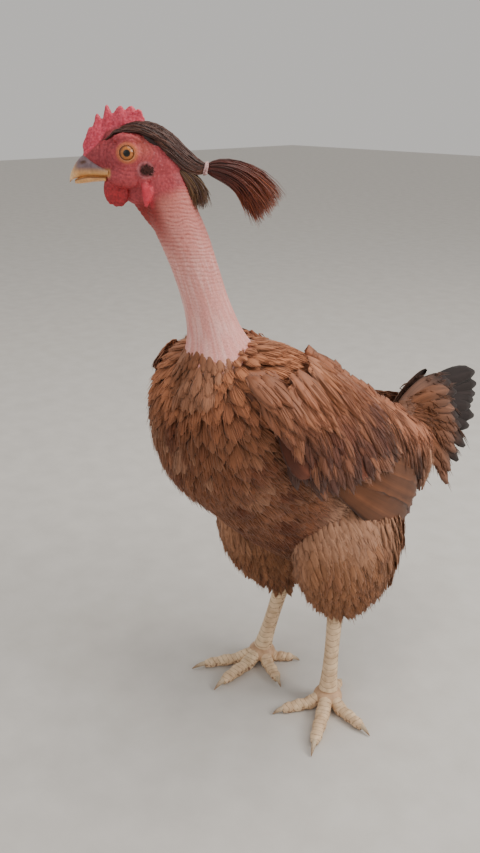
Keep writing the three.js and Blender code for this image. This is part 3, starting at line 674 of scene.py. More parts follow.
skinTone = {
    "face": fromSrgb(190, 80, 86),
    "faceDeep": fromSrgb(132, 38, 48),
    "eyeSkin": fromSrgb(206, 104, 92),
    "bristle": fromSrgb(226, 150, 156),
    # comb and combDeep also paint light on the comb: comb on the pebble tops as a painted highlight, combDeep
    # in the hollows as painted shade
    "comb": fromSrgb(226, 92, 112),
    "combDeep": fromSrgb(190, 52, 72),
    "wattle": fromSrgb(170, 44, 50),
    "lobe": fromSrgb(206, 52, 66),
    "lid": fromSrgb(206, 116, 72),
    "lidEdge": fromSrgb(240, 190, 130),
    "ear": fromSrgb(70, 34, 36),
    "horn": fromSrgb(206, 156, 100),
    "throat": fromSrgb(142, 40, 36),
    "neck": fromSrgb(226, 158, 150),
    "neckPale": fromSrgb(238, 186, 178),
    "neckRed": fromSrgb(196, 108, 98),
    # painted shade for the creases that run round the neck
    "creaseShade": fromSrgb(178, 96, 84),
}


skinLook = {
    "roughness": 0.52,
    "specular": 0.42,
    "grain": (900.0, 4.0),
    "stops": [(0.3, (0.84, 0.78, 0.78)), (0.65, (1.06, 1.04, 1.04))],
    "bump": (1400.0, 5.0, 0.45, 0.0004),
    "subsurface": 0.22,
}
skinDepth = (1.0, 0.35, 0.2)  # how far red, green and blue light spreads under the skin


def combShare(p):  # 1 on the comb, 0 off it
    base = np.interp(p[:, 1], [-28, -20, -16.2, -14.3, -5.4, 7.4, 12], [-3, 4.3, 8.5, 12, 15.5, 17.5, 17])
    return ease(-0.6, 1.2, p[:, 2] - base) * ease(7.5, 5, np.abs(p[:, 0]))


def faceCrease(p):  # 1 in the fine creases that curve round the eye, 0 between them
    reach = np.hypot(p[:, 1] / 1.15, p[:, 2])
    wave = np.abs(np.sin(reach * 1.25 + 3.2 * softNoise(p, 6.0, 16) + 0.8 * softNoise(p, 2.5, 17)))
    return (1 - wave ** 0.6) * ease(6.5, 8.5, reach) * ease(22, 15, reach)


def ringFolds(p, along, angle):  # 0 in the creases that run round the neck, 1 on the folds between them
    warp = 2.2 * softNoise(p, 8.0, 11) + 0.5 * np.cos(angle) + 0.5 * softNoise(p, 3.0, 12)
    broken = ease(0.15, 0.6, softNoise(stacked(angle * 6, along * 0.4, 0), 1.0, 13))
    return 1 - (1 - np.abs(np.sin(along * 1.18 + 2 * warp)) ** 0.5) * (0.5 + 0.5 * broken)


faceSpots = {  # back and up from the eye, reach each way, and how sharp the edge is
    "behindEye": (9, 3, 7, 7, 2),
    "bristles": (14, -3, 9, 12, 2),
    "wattle": (-9.5, -27, 9, 9, 4),
    "lobe": (10.8, -26.5, 4.6, 8, 4),
    "ear": (11.2, -10.4, 3.9, 3.9, 4),
}


def faceSpot(name, y, z):
    back, up, deep, high, power = faceSpots[name]
    return np.exp(-(((y - back) / deep) ** power + ((z - up) / high) ** power))


def neckColour(p, bumps, along, angle, z, patch):
    bump, down = bumps[:, None], along[:, None]
    front = ease(0.15, 0.8, np.cos(angle))[:, None] * ease(-6, -18, z)[:, None]
    streak = softNoise(stacked(angle * 14, along * 0.07, 0), 1.0, 8)[:, None]
    neck = mix(skinTone["neck"], skinTone["neckPale"], ease(0.3, 0.8, streak) * ease(30, 80, down))
    neck = mix(neck, skinTone["neckRed"], (0.8 * ease(66, 8, down) + 0.3 * (patch - 0.5)).clip(0, 1))
    # painted shade in the creases that run round the neck
    creaseShade = (1 - ringFolds(p, along, angle))[:, None] * ease(110, 50, down)
    neck = mix(neck, skinTone["creaseShade"], creaseShade * 0.9)
    # painted highlight and shade: the throat is lighter on its pebble tops and darker between them
    return mix(neck, skinTone["throat"] * (0.8 + 0.4 * bump), front * ease(66, 26, down))


def headColour(p, bumps):
    x, y, z = np.abs(p[:, 0]), p[:, 1], p[:, 2]
    along, angle = neckPlace(p)
    grain = softNoise(p, 2.2, 5)[:, None]
    patch = softNoise(p, 9.0, 6)[:, None]
    bump = bumps[:, None]
    # painted shade: the face darkens between the pebbles and in the creases round the eye, on top of random
    # mottling, and it grows darker towards the bill
    depth = 0.4 * (1 - bump) + 0.7 * (patch - 0.4) + 0.45 * (grain - 0.5)
    depth = depth + 0.3 * faceCrease(p)[:, None] + 0.2 * ease(-4, -14, y)[:, None]
    colour = mix(skinTone["face"], skinTone["faceDeep"], np.clip(depth, 0, 1))
    colour = mix(colour, skinTone["eyeSkin"], faceSpot("behindEye", y, z)[:, None] * 0.7)
    fleck = (ease(0.6, 0.9, bumps) * ease(0.5, 0.75, softNoise(p, 1.3, 15)))[:, None]
    colour = mix(colour, skinTone["bristle"], fleck * (0.06 + 0.7 * faceSpot("bristles", y, z)[:, None]))
    eyeRange = np.hypot(y / 1.07, z)[:, None]
    side = ease(8, 10, x)[:, None]
    colour = mix(colour, skinTone["lid"], side * ease(7.4, 5.6, eyeRange) * 0.8)
    colour = mix(colour, skinTone["lidEdge"], side * ease(5.1, 4.7, eyeRange) * 0.55)
    # painted highlight and shade: the comb is lighter on its pebble tops and deeper red between them, with
    # some random grain
    combTone = mix(skinTone["combDeep"], skinTone["comb"], np.clip(bump * 0.8 + 0.35 * grain, 0, 1))
    colour = mix(colour, combTone, combShare(p)[:, None])
    gape = (ease(10.5, 12.5, -y) * np.exp(-((z + 12.6) / 2.6) ** 4) * ease(4, 6, x))[:, None]
    colour = mix(colour, skinTone["horn"], gape)
    # painted highlight and shade: the wattle is lighter on its pebble tops and darker between them
    colour = mix(colour, skinTone["wattle"] * (0.75 + 0.5 * bump), faceSpot("wattle", y, z)[:, None])
    back, up = faceSpots["ear"][:2]
    earRing = np.exp(-((np.hypot(y - back, z - up) - 4.6) / 0.8) ** 2)[:, None]
    colour = mix(colour, skinTone["bristle"], earRing * side * 0.5)
    colour = mix(colour, skinTone["ear"], faceSpot("ear", y, z)[:, None] * side)
    onNeck = ease(2, 16, along)[:, None] * ease(-24, -34, z - 0.35 * (y - 14))[:, None]
    colour = mix(colour, neckColour(p, bumps, along, angle, z, patch), onNeck)
    lobe = (faceSpot("lobe", y, z) * ease(9, 11, x))[:, None]
    return mix(colour, mix(skinTone["lobe"], skinTone["comb"], 0.6 * grain), lobe)


def headRelief(p, bumps):  # height of the pebbles, creases, folds and wrinkles over the smooth form
    along, angle = neckPlace(p)
    face = ease(-34, -26, p[:, 2]) * ease(34, 26, p[:, 1])
    lid = ease(7.4, 6.4, np.hypot(p[:, 1], p[:, 2])) * ease(8, 10, np.abs(p[:, 0]))
    bare = lid + (1 - lid) * ease(14, 17, -p[:, 1]) * ease(3, -2, p[:, 2])  # on the lids and at the bill
    comb = combShare(p)
    height = (headSize["pebbles"] * bumps - 0.5 * faceCrease(p)) * face * (1 - bare) * (1 - comb)
    height = height + comb * (0.3 * bumps + 1.1 * (softNoise(p, 3.4, 9) - 0.5))
    flap = ease(-19, -23, p[:, 2]) * ease(-1, -6, p[:, 1])  # the wattles' folds
    height += flap * 0.9 * (softNoise(p * np.array([1, 1, 0.4]), 2.6, 14) - 0.5)
    onNeck = ease(6, 14, along) * (1 - face)
    height += -headSize["wrinkles"] * (1 - ringFolds(p, along, angle)) * onNeck * ease(110, 50, along)
    return height + 0.16 * (nearestBumps(p, 1.3, 4) - 0.5) * onNeck


def makeSkin():
    head = [(headToBird(p), f) for p, f in headParts()]
    points, normals, faces = fused("headFlesh", head, headSize["voxel"], 3)
    p = birdToHead(points)
    bumps = nearestBumps(p, 1.55, 3)
    points = points + normals * headRelief(p, bumps)[:, None]
    body = [shaped(torsoRings(torsoSize["coat"])), wingPad(1), wingPad(-1)]
    for leg in legSize.values():
        body.append(shaped(limbRings(thinner(leg["thigh"], 6.0), acrossBird, 32, 40)[0]))
    bodyPoints, bodyNormals, bodyFaces = fused("bodyFlesh", body, torsoSize["voxel"], 4)
    # the body skin takes the plumage colours at 0.8: painted shade for the depth of the coat where the skin
    # shows between feathers
    tint = np.concatenate([headColour(p, bumps), plumageColour(bodyPoints, bodyNormals) * 0.8])
    allPoints, allFaces = joinedParts([(points, faces), (bodyPoints, bodyFaces)])
    skin = meshObject("henSkin", allPoints, allFaces, tint=tint)
    material = mottled("bareSkin", **skinLook)
    shader = material.node_tree.nodes["Principled BSDF"]
    shader.inputs["Subsurface Radius"].default_value = skinDepth
    pairs = [f"{node}_{side}" for node in ("wattle", "ear_lobe", "thigh") for side in ("left", "right")]
    finishPiece(skin, material, ["torso", "neck", "head", "comb"] + pairs)


makeSkin()
print("stage: skin")


# Feathers. Contour feathers are rounded vanes under a fringe of fine barbs; large ones are whole vanes.

def featherMaterial(name, roughness=0.66, specular=0.2, barbScale=26.0, contrast=0.16):
    material, tree, shader = newMaterial(name, roughness, specular, sheen=0.06)
    shader.inputs["Sheen Roughness"].default_value = 0.5
    uv = tree.nodes.new("ShaderNodeUVMap")
    uv.uv_map = "vane"
    barbs = noiseNode(tree, barbScale, 2.0, uv.outputs["UV"], (1.0, 0.09, 1.0))
    low, high = 1 - contrast, 1 + contrast * 0.6
    shade = rampNode(tree, barbs, [(0.3, (low, low, low)), (0.7, (high, high, high))])
    mottle = rampNode(tree, noiseNode(tree, 70.0, 3.0),
                      [(0.3, (0.9, 0.88, 0.86)), (0.7, (1.08, 1.08, 1.08))])
    colour = timesNode(tree, timesNode(tree, tintNode(tree), shade), mottle)
    tree.links.new(colour, shader.inputs["Base Color"])
    bumpNode(tree, shader, barbs, 0.3, 0.0003)
    return material


def barbTubes(root, normal, lie, length, half, lift, bend, place, base, tip, seed, barbs=7, splay=0.05,
              wide=1.0, ragged=0.08, start=0.0, vary=0.08):
    # each feather is a fan of flat barb groups, three points round and along, from start of its length
    draw = np.random.default_rng(seed)
    n, rings = len(root), 3
    side = np.cross(normal, lie)
    across = np.linspace(-1, 1, barbs)[None, :] + draw.normal(0, 0.1, (n, barbs))
    t = mix(start, 1.0, np.linspace(0, 1, rings))[None, None, :]
    reach = (1 - 0.36 * np.abs(across) ** 2.4) * (1 + ragged * draw.normal(0, 1, (n, barbs)))
    away = length[:, None, None] * reach[..., None] * t
    spread = half[:, None, None] * across[..., None] * (1 - (1 - t) ** 2) * (1 - splay * t ** 2)
    wobble = draw.normal(0, 0.035, (n, barbs, 1)) * length[:, None, None] * t ** 2
    height = lift[:, None, None] * t - bend[:, None, None] * t ** 2
    height = height + half[:, None, None] * 0.16 * (1 - across[..., None] ** 2)
    height = height + draw.normal(0, 0.14, (n, barbs, 1)) * t * 2 + 0.25
    centre = root[:, None, None] + lie[:, None, None] * away[..., None]
    centre = centre + side[:, None, None] * (spread + wobble)[..., None]
    centre = centre + normal[:, None, None] * height[..., None]
    girth = np.array([0.6, 1.0, 0.15])
    flat = half[:, None, None] * 1.5 / barbs * girth[None, None, :] * wide
    sideways = side[:, None, None] * flat[..., None]
    ridge = normal[:, None, None] * (0.28 * flat[..., None] + 0.05)
    tubes = np.stack([centre - sideways, centre + ridge, centre + sideways], axis=3)
    u = (across[..., None, None] * 0.5 + 0.5) + np.array([-0.5, 0, 0.5]) / barbs
    u = np.broadcast_to(u, (n, barbs, rings, 3))
    v = np.broadcast_to(t[..., None], (n, barbs, rings, 3))
    vane = stacked(u * 0.8 + draw.uniform(0, 40, (n, 1, 1, 1)), v)
    bake = place[:, None, None, None] + (stacked(u, v) - 0.5) * 0.003
    fade = ease(0.45, 1.0, v)[..., None]
    tint = mix(base[:, None, None, None], tip[:, None, None, None], fade)
    tint = tint * (1 + vary * draw.uniform(-1, 1, (n, barbs, 1, 1, 1)))
    return tubes.reshape(-1, rings, 3, 3), vane.reshape(-1, 2), bake.reshape(-1, 2), tint.reshape(-1, 3)


def roundedVane(v):
    return (0.4 + 0.6 * np.sin(np.minimum(v * 1.7, 1) * math.pi / 2)) * np.sqrt(1 - ease(0.5, 1.02, v) ** 1.6)


def lanceVane(v):
    return ((0.45 + 0.55 * np.sin(np.minimum(v * 2.2, 1) * math.pi / 2))
            * (1 - np.maximum(0, (v - 0.45) / 0.55) ** 2.1))


def quillVane(v):
    return (0.34 + 0.66 * np.sin(np.minimum(v * 1.5, 1) * math.pi / 2)
            - 0.86 * np.maximum(0, (v - 0.8) / 0.2) ** 2.4)


def plumeVane(v):
    swell = 0.3 + 0.7 * np.sin(np.minimum(v * 1.3, 1) * math.pi / 2)
    return swell * np.sqrt(1 - np.maximum(0, (v - 0.7) / 0.31) ** 2.6)


def vaneTubes(line, across, out, width, thick, place, base, tip, seed, columns=7, shape=quillVane, camber=1.6,
              splits=0.5, edge=0.0, shaft=0.4):
    # line is (n, rings, 3), the shaft's course; across and out are its side and outer directions
    draw = np.random.default_rng(seed)
    n, rings = line.shape[:2]
    v = np.linspace(0, 1, rings)
    u = np.linspace(-1, 1, columns)
    ring = np.concatenate([u, u[1:-1][::-1]])
    skinSide = np.concatenate([np.ones(columns), -np.ones(columns - 2)])
    span = np.clip(shape(v), 0.04, 1)[None, :, None] * width[:, None, None]
    notch = 1 - splits * 0.22 * (draw.random((n, rings, 2)) > 0.8) * (v > 0.3)[None, :, None]
    sideNotch = np.where(ring[None, None] < 0, notch[..., :1], notch[..., 1:])
    sideways = span * ring[None, None] * np.where(np.abs(ring) > 0.8, sideNotch, 1)
    height = camber * (1 - ring ** 2) + skinSide * thick * 0.5 * (1 - ring ** 2)
    height = height[None, None] + 0 * sideways
    points = line[:, :, None] + across[:, :, None] * sideways[..., None] + out[:, :, None] * height[..., None]
    uCoord = np.broadcast_to((ring * 0.5 + 0.5)[None, None], sideways.shape)
    vCoord = np.broadcast_to(v[None, :, None], sideways.shape)
    vane = stacked(uCoord + np.arange(n)[:, None, None] * 3.0, vCoord)
    bake = place[:, None, None] + (stacked(uCoord, vCoord) - 0.5) * 0.003
    midrib = np.exp(-(ring / 0.09) ** 2)[None, None, :, None] * (skinSide > 0)[None, None, :, None]
    fade = ease(0.55, 1.0, vCoord)[..., None]
    rim = (np.abs(ring) ** 4)[None, None, :, None] * (v > 0.25)[None, :, None, None]
    tint = mix(base[:, None, None], tip[:, None, None], fade) * (1 + shaft * midrib + edge * rim)
    return points, vane.reshape(-1, 2), bake.reshape(-1, 2), tint.reshape(-1, 3)


def courseFrames(line, outward):  # side and outer directions along each shaft
    along = unit(np.gradient(line, axis=1))
    out = laidOn(outward, along)
    return np.cross(along, out), out


def contourFeathers(root, normal, lie, length, half, lift, bend, place, base, tip, seed, shape=roundedVane,
                    edge=0.1, barbs=7, wide=0.4, vary=0.1, reach=1.1, ragged=0.08):
    t = np.linspace(0, 1, 5)[None, :, None]
    height = (lift - 0.2)[:, None, None] * t - bend[:, None, None] * t ** 2
    line = root[:, None] + lie[:, None] * length[:, None, None] * t + normal[:, None] * height
    across, out = courseFrames(line, normal[:, None])
    vanes = vaneTubes(line, across, out, half, 0.35, place, base, tip, seed, columns=5, shape=shape,
                      camber=0.9, splits=0.3, edge=edge, shaft=0.08)
    fringe = barbTubes(root, normal, lie, length * reach, half * 1.04, lift, bend, place, base, tip * 1.06,
                       seed + 1, barbs, wide=wide, ragged=ragged, start=0.35, vary=vary)
    return [vanes, fringe]


def coatObject(name, batches):
    points, uv, bake, tint, faces, start = [], [], [], [], [], 0
    for tubes, vane, patch, colour in batches:
        n, rings, around = tubes.shape[:3]
        faces.append(tubeFaces(n, rings, around) + start)
        start += n * rings * around
        points.append(tubes.reshape(-1, 3))
        uv.append(vane)
        bake.append(patch)
        tint.append(colour)
    faces = np.concatenate(faces)
    print("  ", name, len(faces), "triangles")
    return meshObject(name, np.concatenate(points), faces,
                      {"OFBake": np.concatenate(bake), "vane": np.concatenate(uv)}, np.concatenate(tint))


def flipped(batches):  # the same feathers on the bird's other side
    made = []
    for tubes, *maps in batches:
        n, rings, around = tubes.shape[:3]
        turned = []
        for values in maps:
            values = values.reshape(n, rings, around, -1)[:, :, ::-1]
            turned.append(values.reshape(-1, values.shape[-1]))
        made.append((tubes[:, :, ::-1] * np.array([-1, 1, 1]), *turned))
    return made


def coatFlow(points, normals):  # the way the feathers lie
    facing = np.clip(-normals[:, 1:2], 0, 1)
    flow = mix(np.array([0, 1, -0.42]), np.array([0, 0.3, -1.0]), facing)
    low = ease(0.3, -0.3, normals[:, 2:3]) * ease(-20, 20, points[:, 1:2])
    flow = flow + np.array([0, 0, -0.9]) * (ease(95, 135, points[:, 1:2]) + 0.6 * low)
    away = (points - neckBase) * np.array([1, 1, 0.4])
    close = np.exp(-(np.linalg.norm(points - neckBase, axis=1) / 46) ** 2)[:, None]
    flow = flow + 1.8 * close * unit(away)
    return laidOn(flow, normals)


bodyCoat = {
    "spacing": 7.0,
    "length": 24.0,
    "half": 6.2,
    "lift": 8.6,
    "seed": 4,
    "neckOpening": (19, 280),  # its radius, and the height it starts at
    "breastEnd": -58,
    "rearStart": 45,
}


def torsoSpots(spacing, seed, inset):
    draw = np.random.default_rng(seed)
    fine = np.linspace(0, 1, 600)
    spine = torsoPoint(fine, np.full(600, 1.5), inset)
    arc = arcLength(spine)
    spots = []
    for row, reach in enumerate(np.arange(spacing * 0.3, arc[-1], spacing * 0.8)):
        t = np.interp(reach, arc, fine)
        a = np.linspace(0, 2 * math.pi, 241)
        ring = torsoPoint(np.full(241, t), a, inset)
        length = arcLength(ring)
        count = max(5, int(length[-1] / spacing))
        at = (np.arange(count) + 0.5 * (row % 2) + draw.uniform(-0.3, 0.3, count)) / count * length[-1]
        around = np.interp(at % length[-1], length, a)
        along = np.interp(reach + draw.uniform(-0.3, 0.3, count) * spacing, arc, fine)
        spots.append(stacked(along, around))
    return np.concatenate(spots)


def makeBodyCoat():
    inset = torsoSize["coat"]
    spots = torsoSpots(bodyCoat["spacing"], bodyCoat["seed"], inset)
    draw = np.random.default_rng(bodyCoat["seed"])
    t, angle = spots.T
    root, normal = torsoPoint(t, angle, inset), torsoNormal(t, angle, inset)
    opening, bottom = bodyCoat["neckOpening"]
    inNeck = np.linalg.norm((root - neckBase)[:, :2] * np.array([1, 0.8]), axis=1) < opening
    inNeck &= root[:, 2] > bottom
    root, normal, t, angle = root[~inNeck], normal[~inNeck], t[~inNeck], angle[~inNeck]
    n = len(root)
    lie = laidOn(coatFlow(root, normal) + draw.normal(0, 0.09, (n, 3)), normal)
    ruff = np.exp(-(np.linalg.norm(root - neckBase, axis=1) / 36) ** 2)
    rear = ease(60, 120, root[:, 1])
    belly = ease(170, 130, root[:, 2])
    back = ease(0.15, 0.6, normal[:, 2]) * ease(-60, -20, root[:, 1])
    length = bodyCoat["length"] * (1 - 0.5 * ruff + 0.25 * rear + 0.3 * back) * draw.uniform(0.88, 1.12, n)
    half = bodyCoat["half"] * (1 - 0.42 * ruff - 0.2 * back) * draw.uniform(0.9, 1.12, n)
    lift = bodyCoat["lift"] * (1 + 0.15 * belly - 0.12 * ruff) * draw.uniform(0.92, 1.06, n)
    bend = lift * 0.35 + length ** 2 / 230
    base = plumageColour(root, normal) * draw.uniform(0.88, 1.1, (n, 1))
    breast = ease(-20, -70, root[:, 1])[:, None] * (1 - ease(0.2, 0.6, normal[:, 2])[:, None])
    pale = draw.random((n, 1)) ** 2 * breast * 0.22
    tip = mix(base * 1.1, plumage["breastPale"], pale)
    place = stacked(0.02 + 0.96 * t, 0.02 + 0.96 * (angle % (2 * math.pi)) / (2 * math.pi))
    grown = {
        "root": root,
        "normal": normal,
        "lie": lie,
        "length": length,
        "half": half,
        "lift": lift,
        "bend": bend,
        "place": place,
        "base": base,
        "tip": tip,
    }
    onBack = back > 0.5
    onBreast = ~onBack & (root[:, 1] < bodyCoat["breastEnd"])
    onRear = ~onBack & (root[:, 1] >= bodyCoat["rearStart"])
    onSide = ~(onBack | onBreast | onRear)
    zones = {
        "breastFeathers": onBreast,
        "sideFeathersLeft": onSide & (root[:, 0] >= 0),
        "sideFeathersRight": onSide & (root[:, 0] < 0),
        "rearFeathers": onRear,
        "backFeathers": onBack,
    }
    material = featherMaterial("bodyPlumage")
    for index, (name, pick) in enumerate(zones.items()):
        picked = {key: values[pick] for key, values in grown.items()}
        shape = lanceVane if name == "backFeathers" else roundedVane
        piece = coatObject(name, contourFeathers(**picked, seed=40 + 3 * index, shape=shape))
        finishPiece(piece, material, ["torso"])


makeBodyCoat()


neckRuff = {
    "start": (-125.0, -134.0),  # highest root in front and behind, in the head's frame
    "end": -150.0,
    "spacing": 4.6,
    "length": 17.0,
    "half": 4.4,
}


def makeNeckRuff():
    draw = np.random.default_rng(30)
    rows = neckStations()
    rings, _, angle = limbRings(rows, acrossBird, 60, 200)
    level = rings[..., 2].mean(axis=1)
    roots, normals, lies = [], [], []
    for height in np.arange(neckRuff["start"][0], neckRuff["end"], -neckRuff["spacing"] * 0.8):
        k = int(np.searchsorted(-level, -height).clip(1, len(level) - 6))
        count = int(2 * math.pi * rows[:, 3].max() * 0.8 / neckRuff["spacing"])
        at = (np.arange(count) + draw.uniform(0, 1, count)) / count * 2 * math.pi
        spot = aroundRing(rings[k], angle, at)
        centre = rings[k].mean(axis=0)
        facing = np.clip(-(spot - centre)[:, 1] / 20, -1, 1) * 0.5 + 0.5
        top = mix(neckRuff["start"][1], neckRuff["start"][0], facing) + draw.normal(0, 1.5, count)
        keep = spot[:, 2] < top
        below = aroundRing(rings[k + 4], angle, at)
        roots.append(spot[keep])
        normals.append((spot - centre)[keep])
        lies.append(unit(below - spot)[keep])
    root, normal = headToBird(np.concatenate(roots)), headToBird(np.concatenate(normals)) - headPivot
    n = len(root)
    lie = unit(headToBird(np.concatenate(lies)) - headPivot + draw.normal(0, 0.12, (n, 3)))
    normal = unit(normal - lie * np.sum(lie * normal, axis=1, keepdims=True))
    root = root + lie * draw.uniform(-2, 2, (n, 1)) - normal * 0.6
    high = ease(-142, -128, root[:, 2] - headPivot[2])
    length = neckRuff["length"] * (1 - 0.4 * high) * draw.uniform(0.8, 1.15, n)
    half = neckRuff["half"] * (1 - 0.3 * high) * draw.uniform(0.8, 1.15, n)
    lift = np.full(n, 5.0) * (1 - 0.55 * high)
    base = mix(plumage["ruff"], plumage["breast"], ease(0.35, 0.75, softNoise(root, 10, 31))[:, None] * 0.8)
    base = base * draw.uniform(0.88, 1.12, (n, 1))
    place = stacked(0.02 + 0.1 * draw.random(n), 0.5 + 0.4 * normal[:, 0])
    batches = contourFeathers(root, normal, lie, length, half, lift, lift * 0.4, place, base, base * 1.15, 32)
    piece = coatObject("ruffFeathers", batches)
    finishPiece(piece, featherMaterial("ruffPlumage"), ["neck", "torso"])


makeNeckRuff()
print("stage: body coat")


thighCoat = {
    "spacing": 5.0,
    "length": 24.0,
    "half": 4.4,
    "lift": 7.2,
    "seeds": {"left": 60, "right": 64},
}


def makeThighCoat(sideName, leg, seed):
    draw = np.random.default_rng(seed)
    stations = thinner(leg["thigh"], 6.0)
    rings = limbRings(stations, acrossBird, 40, 60)[0]
    spacing = thighCoat["spacing"]
    arc = arcLength(rings.mean(axis=1))
    roots, normals, places = [], [], []
    for row, reach in enumerate(np.arange(2, arc[-1] - 9, spacing * 0.8)):
        k = np.interp(reach, arc, np.arange(len(arc)))
        ring = mix(rings[int(k)], rings[min(int(k) + 1, len(rings) - 1)], k - int(k))
        length = arcLength(np.concatenate([ring, ring[:1]]))
        count = max(8, int(length[-1] / spacing))
        at = (np.arange(count) + 0.5 * (row % 2) + draw.uniform(-0.35, 0.35, count)) / count * length[-1]
        spot = aroundRing(ring, length, at % length[-1])
        spot[:, 2] += draw.uniform(-0.4, 0.4, count) * spacing
        roots.append(spot)
        normals.append(unit(spot - ring.mean(axis=0)))
        places.append(stacked(0.03 + 0.94 * reach / arc[-1], 0.03 + 0.94 * (at / length[-1] % 1)))
    root, normal, place = np.concatenate(roots), np.concatenate(normals), np.concatenate(places)
    n = len(root)
    taper = ease(84, 130, root[:, 2])
    lie = laidOn(np.array([0, 0.32, -1]) + draw.normal(0, 0.1, (n, 3)), normal)
    length = thighCoat["length"] * (0.5 + 0.5 * taper) * draw.uniform(0.85, 1.15, n)
    half = thighCoat["half"] * (0.55 + 0.45 * taper) * draw.uniform(0.85, 1.15, n)
    lift = thighCoat["lift"] * (0.35 + 0.65 * taper) * draw.uniform(0.85, 1.1, n)
    bend = lift * 0.5 + length ** 2 / 260
    red = 0.45 * ease(0.4, 0.8, softNoise(root, 13, 4))
    base = mix(plumage["thigh"], plumage["breastRed"], red[:, None])
    upper = 0.75 * ease(138, 186, root[:, 2]) * (0.35 + 0.65 * ease(0.3, 0.7, softNoise(root, 16, 5)))
    base = mix(base, plumage["fluff"], (0.8 * upper)[:, None])
    base = base * draw.uniform(0.9, 1.1, (n, 1)) * mix(0.78, 1.0, taper)[:, None]
    batches = contourFeathers(root, normal, lie, length, half, lift, bend, place, base, base * 1.12, seed + 1,
                              edge=0.05, barbs=6, wide=0.36, vary=0.12)
    piece = coatObject("thighFluff" + sideName, batches)
    finishPiece(piece, featherMaterial("thighPlumage" + sideName, 0.7, 0.2),
                ["thigh_" + sideName.lower()])


for sideKey, thighSeed in thighCoat["seeds"].items():
    makeThighCoat(sideKey.capitalize(), legSize[sideKey], thighSeed)
print("stage: thighs")


# Wings and saddle, laid out on the left flank and turned over for the right

wingTiers = {  # roots and tips from the lowest feather to the highest, as y and z on the flank
    "hand": {
        "count": 5,
        "roots": [(-24, 218), (-6, 216)],
        "tips": [(60, 156), (72, 168)],
        "bow": (0, 0),  # how far the middle of the row of tips lies back and up
        "width": 8.5,
        "lift": (1.6, 1.0),
        "colours": ("wingDark", "wingDark"),
        "edge": 0.5,
    },
    "arm": {
        "count": 7,
        "roots": [(-42, 236), (4, 268)],
        "tips": [(66, 163), (48, 232)],
        "bow": (9, 0),
        "width": 13.5,
        "lift": (4.6, 4.4),
        "colours": ("flight", "flight"),
        # a negative edge darkens the rims: painted shade along the overlapping secondaries
        "edge": -0.5,
    },
    "greater": {
        "count": 13,
        "roots": [(-84, 280), (-22, 296)],
        "tips": [(-63, 244), (16, 238)],
        "bow": (0, -12),
        "width": 8.4,
        "lift": (6.2, 6.4),
        "colours": ("wingDark", "wing"),
        "edge": 0.25,
    },
}
lanceFeathers = {
    "front": [(-99, 317), (-94, 303), (-86, 282), (-71, 252)],  # the wing's front edge
    "rear": [(-28, 320), (-8, 298), (12, 274), (24, 250)],
    "spacing": 5.1,
    "length": 33.0,
    "half": 5.3,
    "area": 9500,
}
saddleFeathers = {
    "roots": [(-30, 318), (100, 236)],
    "tips": [(14, 238), (112, 176)],
    "count": 84,
    "width": 6.6,
    "spots": [  # tips near the tail: colour, most of it, y and z, reach
        (plumage["tail"], 0.95, (70, 200), (15, 18)),
        (plumage["breastPale"] * 1.05, 0.85, (98, 196), (13, 18)),
    ],
}
wingLook = {  # each piece's material, roughness, specular, barb scale and contrast
    "wingQuills": ("wingVanes", 0.6, 0.2, 34.0, 0.14),
    "wingLances": ("wingLanceVanes", 0.5, 0.35, 24.0, 0.2),
    "saddle": ("saddleVanes", 0.5, 0.36, 24.0, 0.24),
}


def flankFrame(y, z, lift):  # a point over the flank and the direction away from it
    point = flankPoint(y, z, lift)
    outward = np.cross(flankPoint(y + 1.0, z, lift) - point, flankPoint(y, z + 1.0, lift) - point)
    return point, unit(outward) * np.sign(outward[..., :1] + 1e-9)


def flankPatch(root):  # a feather's place on the bake map, from its root's y and z
    return stacked(0.05 + 0.9 * (root[:, 0] + 120) / 230, 0.05 + 0.9 * (root[:, 1] - 150) / 190)


def betweenEnds(ends, share, loose, draw):  # points along the line between both ends, a little off it
    ends = np.array(ends, float)
    return mix(ends[:1], ends[1:], share[:, None]) + draw.normal(0, loose, (len(share), 2))


def wingVanes(tier, draw, seed):
    n = tier["count"]
    share = np.linspace(0, 1, n)
    start = betweenEnds(tier["roots"], share, 1.0, draw)
    end = betweenEnds(tier["tips"], share, 1.2, draw)
    end += np.array(tier["bow"]) * np.sin(share * math.pi)[:, None]
    v = np.linspace(0, 1, 14)
    run = end - start
    sideways = unit(stacked(-run[:, 1], run[:, 0]))
    sag = (-3 + draw.normal(0, 0.6, n))[:, None, None] * np.sin(v * math.pi)[None, :, None]
    flat = start[:, None] + run[:, None] * v[None, :, None] + sideways[:, None] * sag
    low, high = tier["lift"]
    order = np.linspace(0, 2.6, n)[:, None]
    lift = mix(low - 4, high, np.minimum(1, v * 2.2))[None] + order + draw.normal(0, 0.2, (n, 1)) * v
    line, outward = flankFrame(flat[..., 0], flat[..., 1], lift)
    outward[..., 2] -= 0.12
    across, out = courseFrames(line, unit(outward))
    width = tier["width"] * draw.uniform(0.94, 1.06, n)
    base, tip = (plumage[colour] * draw.uniform(0.88, 1.1, (n, 1)) for colour in tier["colours"])
    return vaneTubes(line, across, out, width, 0.5, flankPatch(start), base, tip, seed, columns=9,
                     splits=0.3, edge=tier["edge"], shaft=0.5)


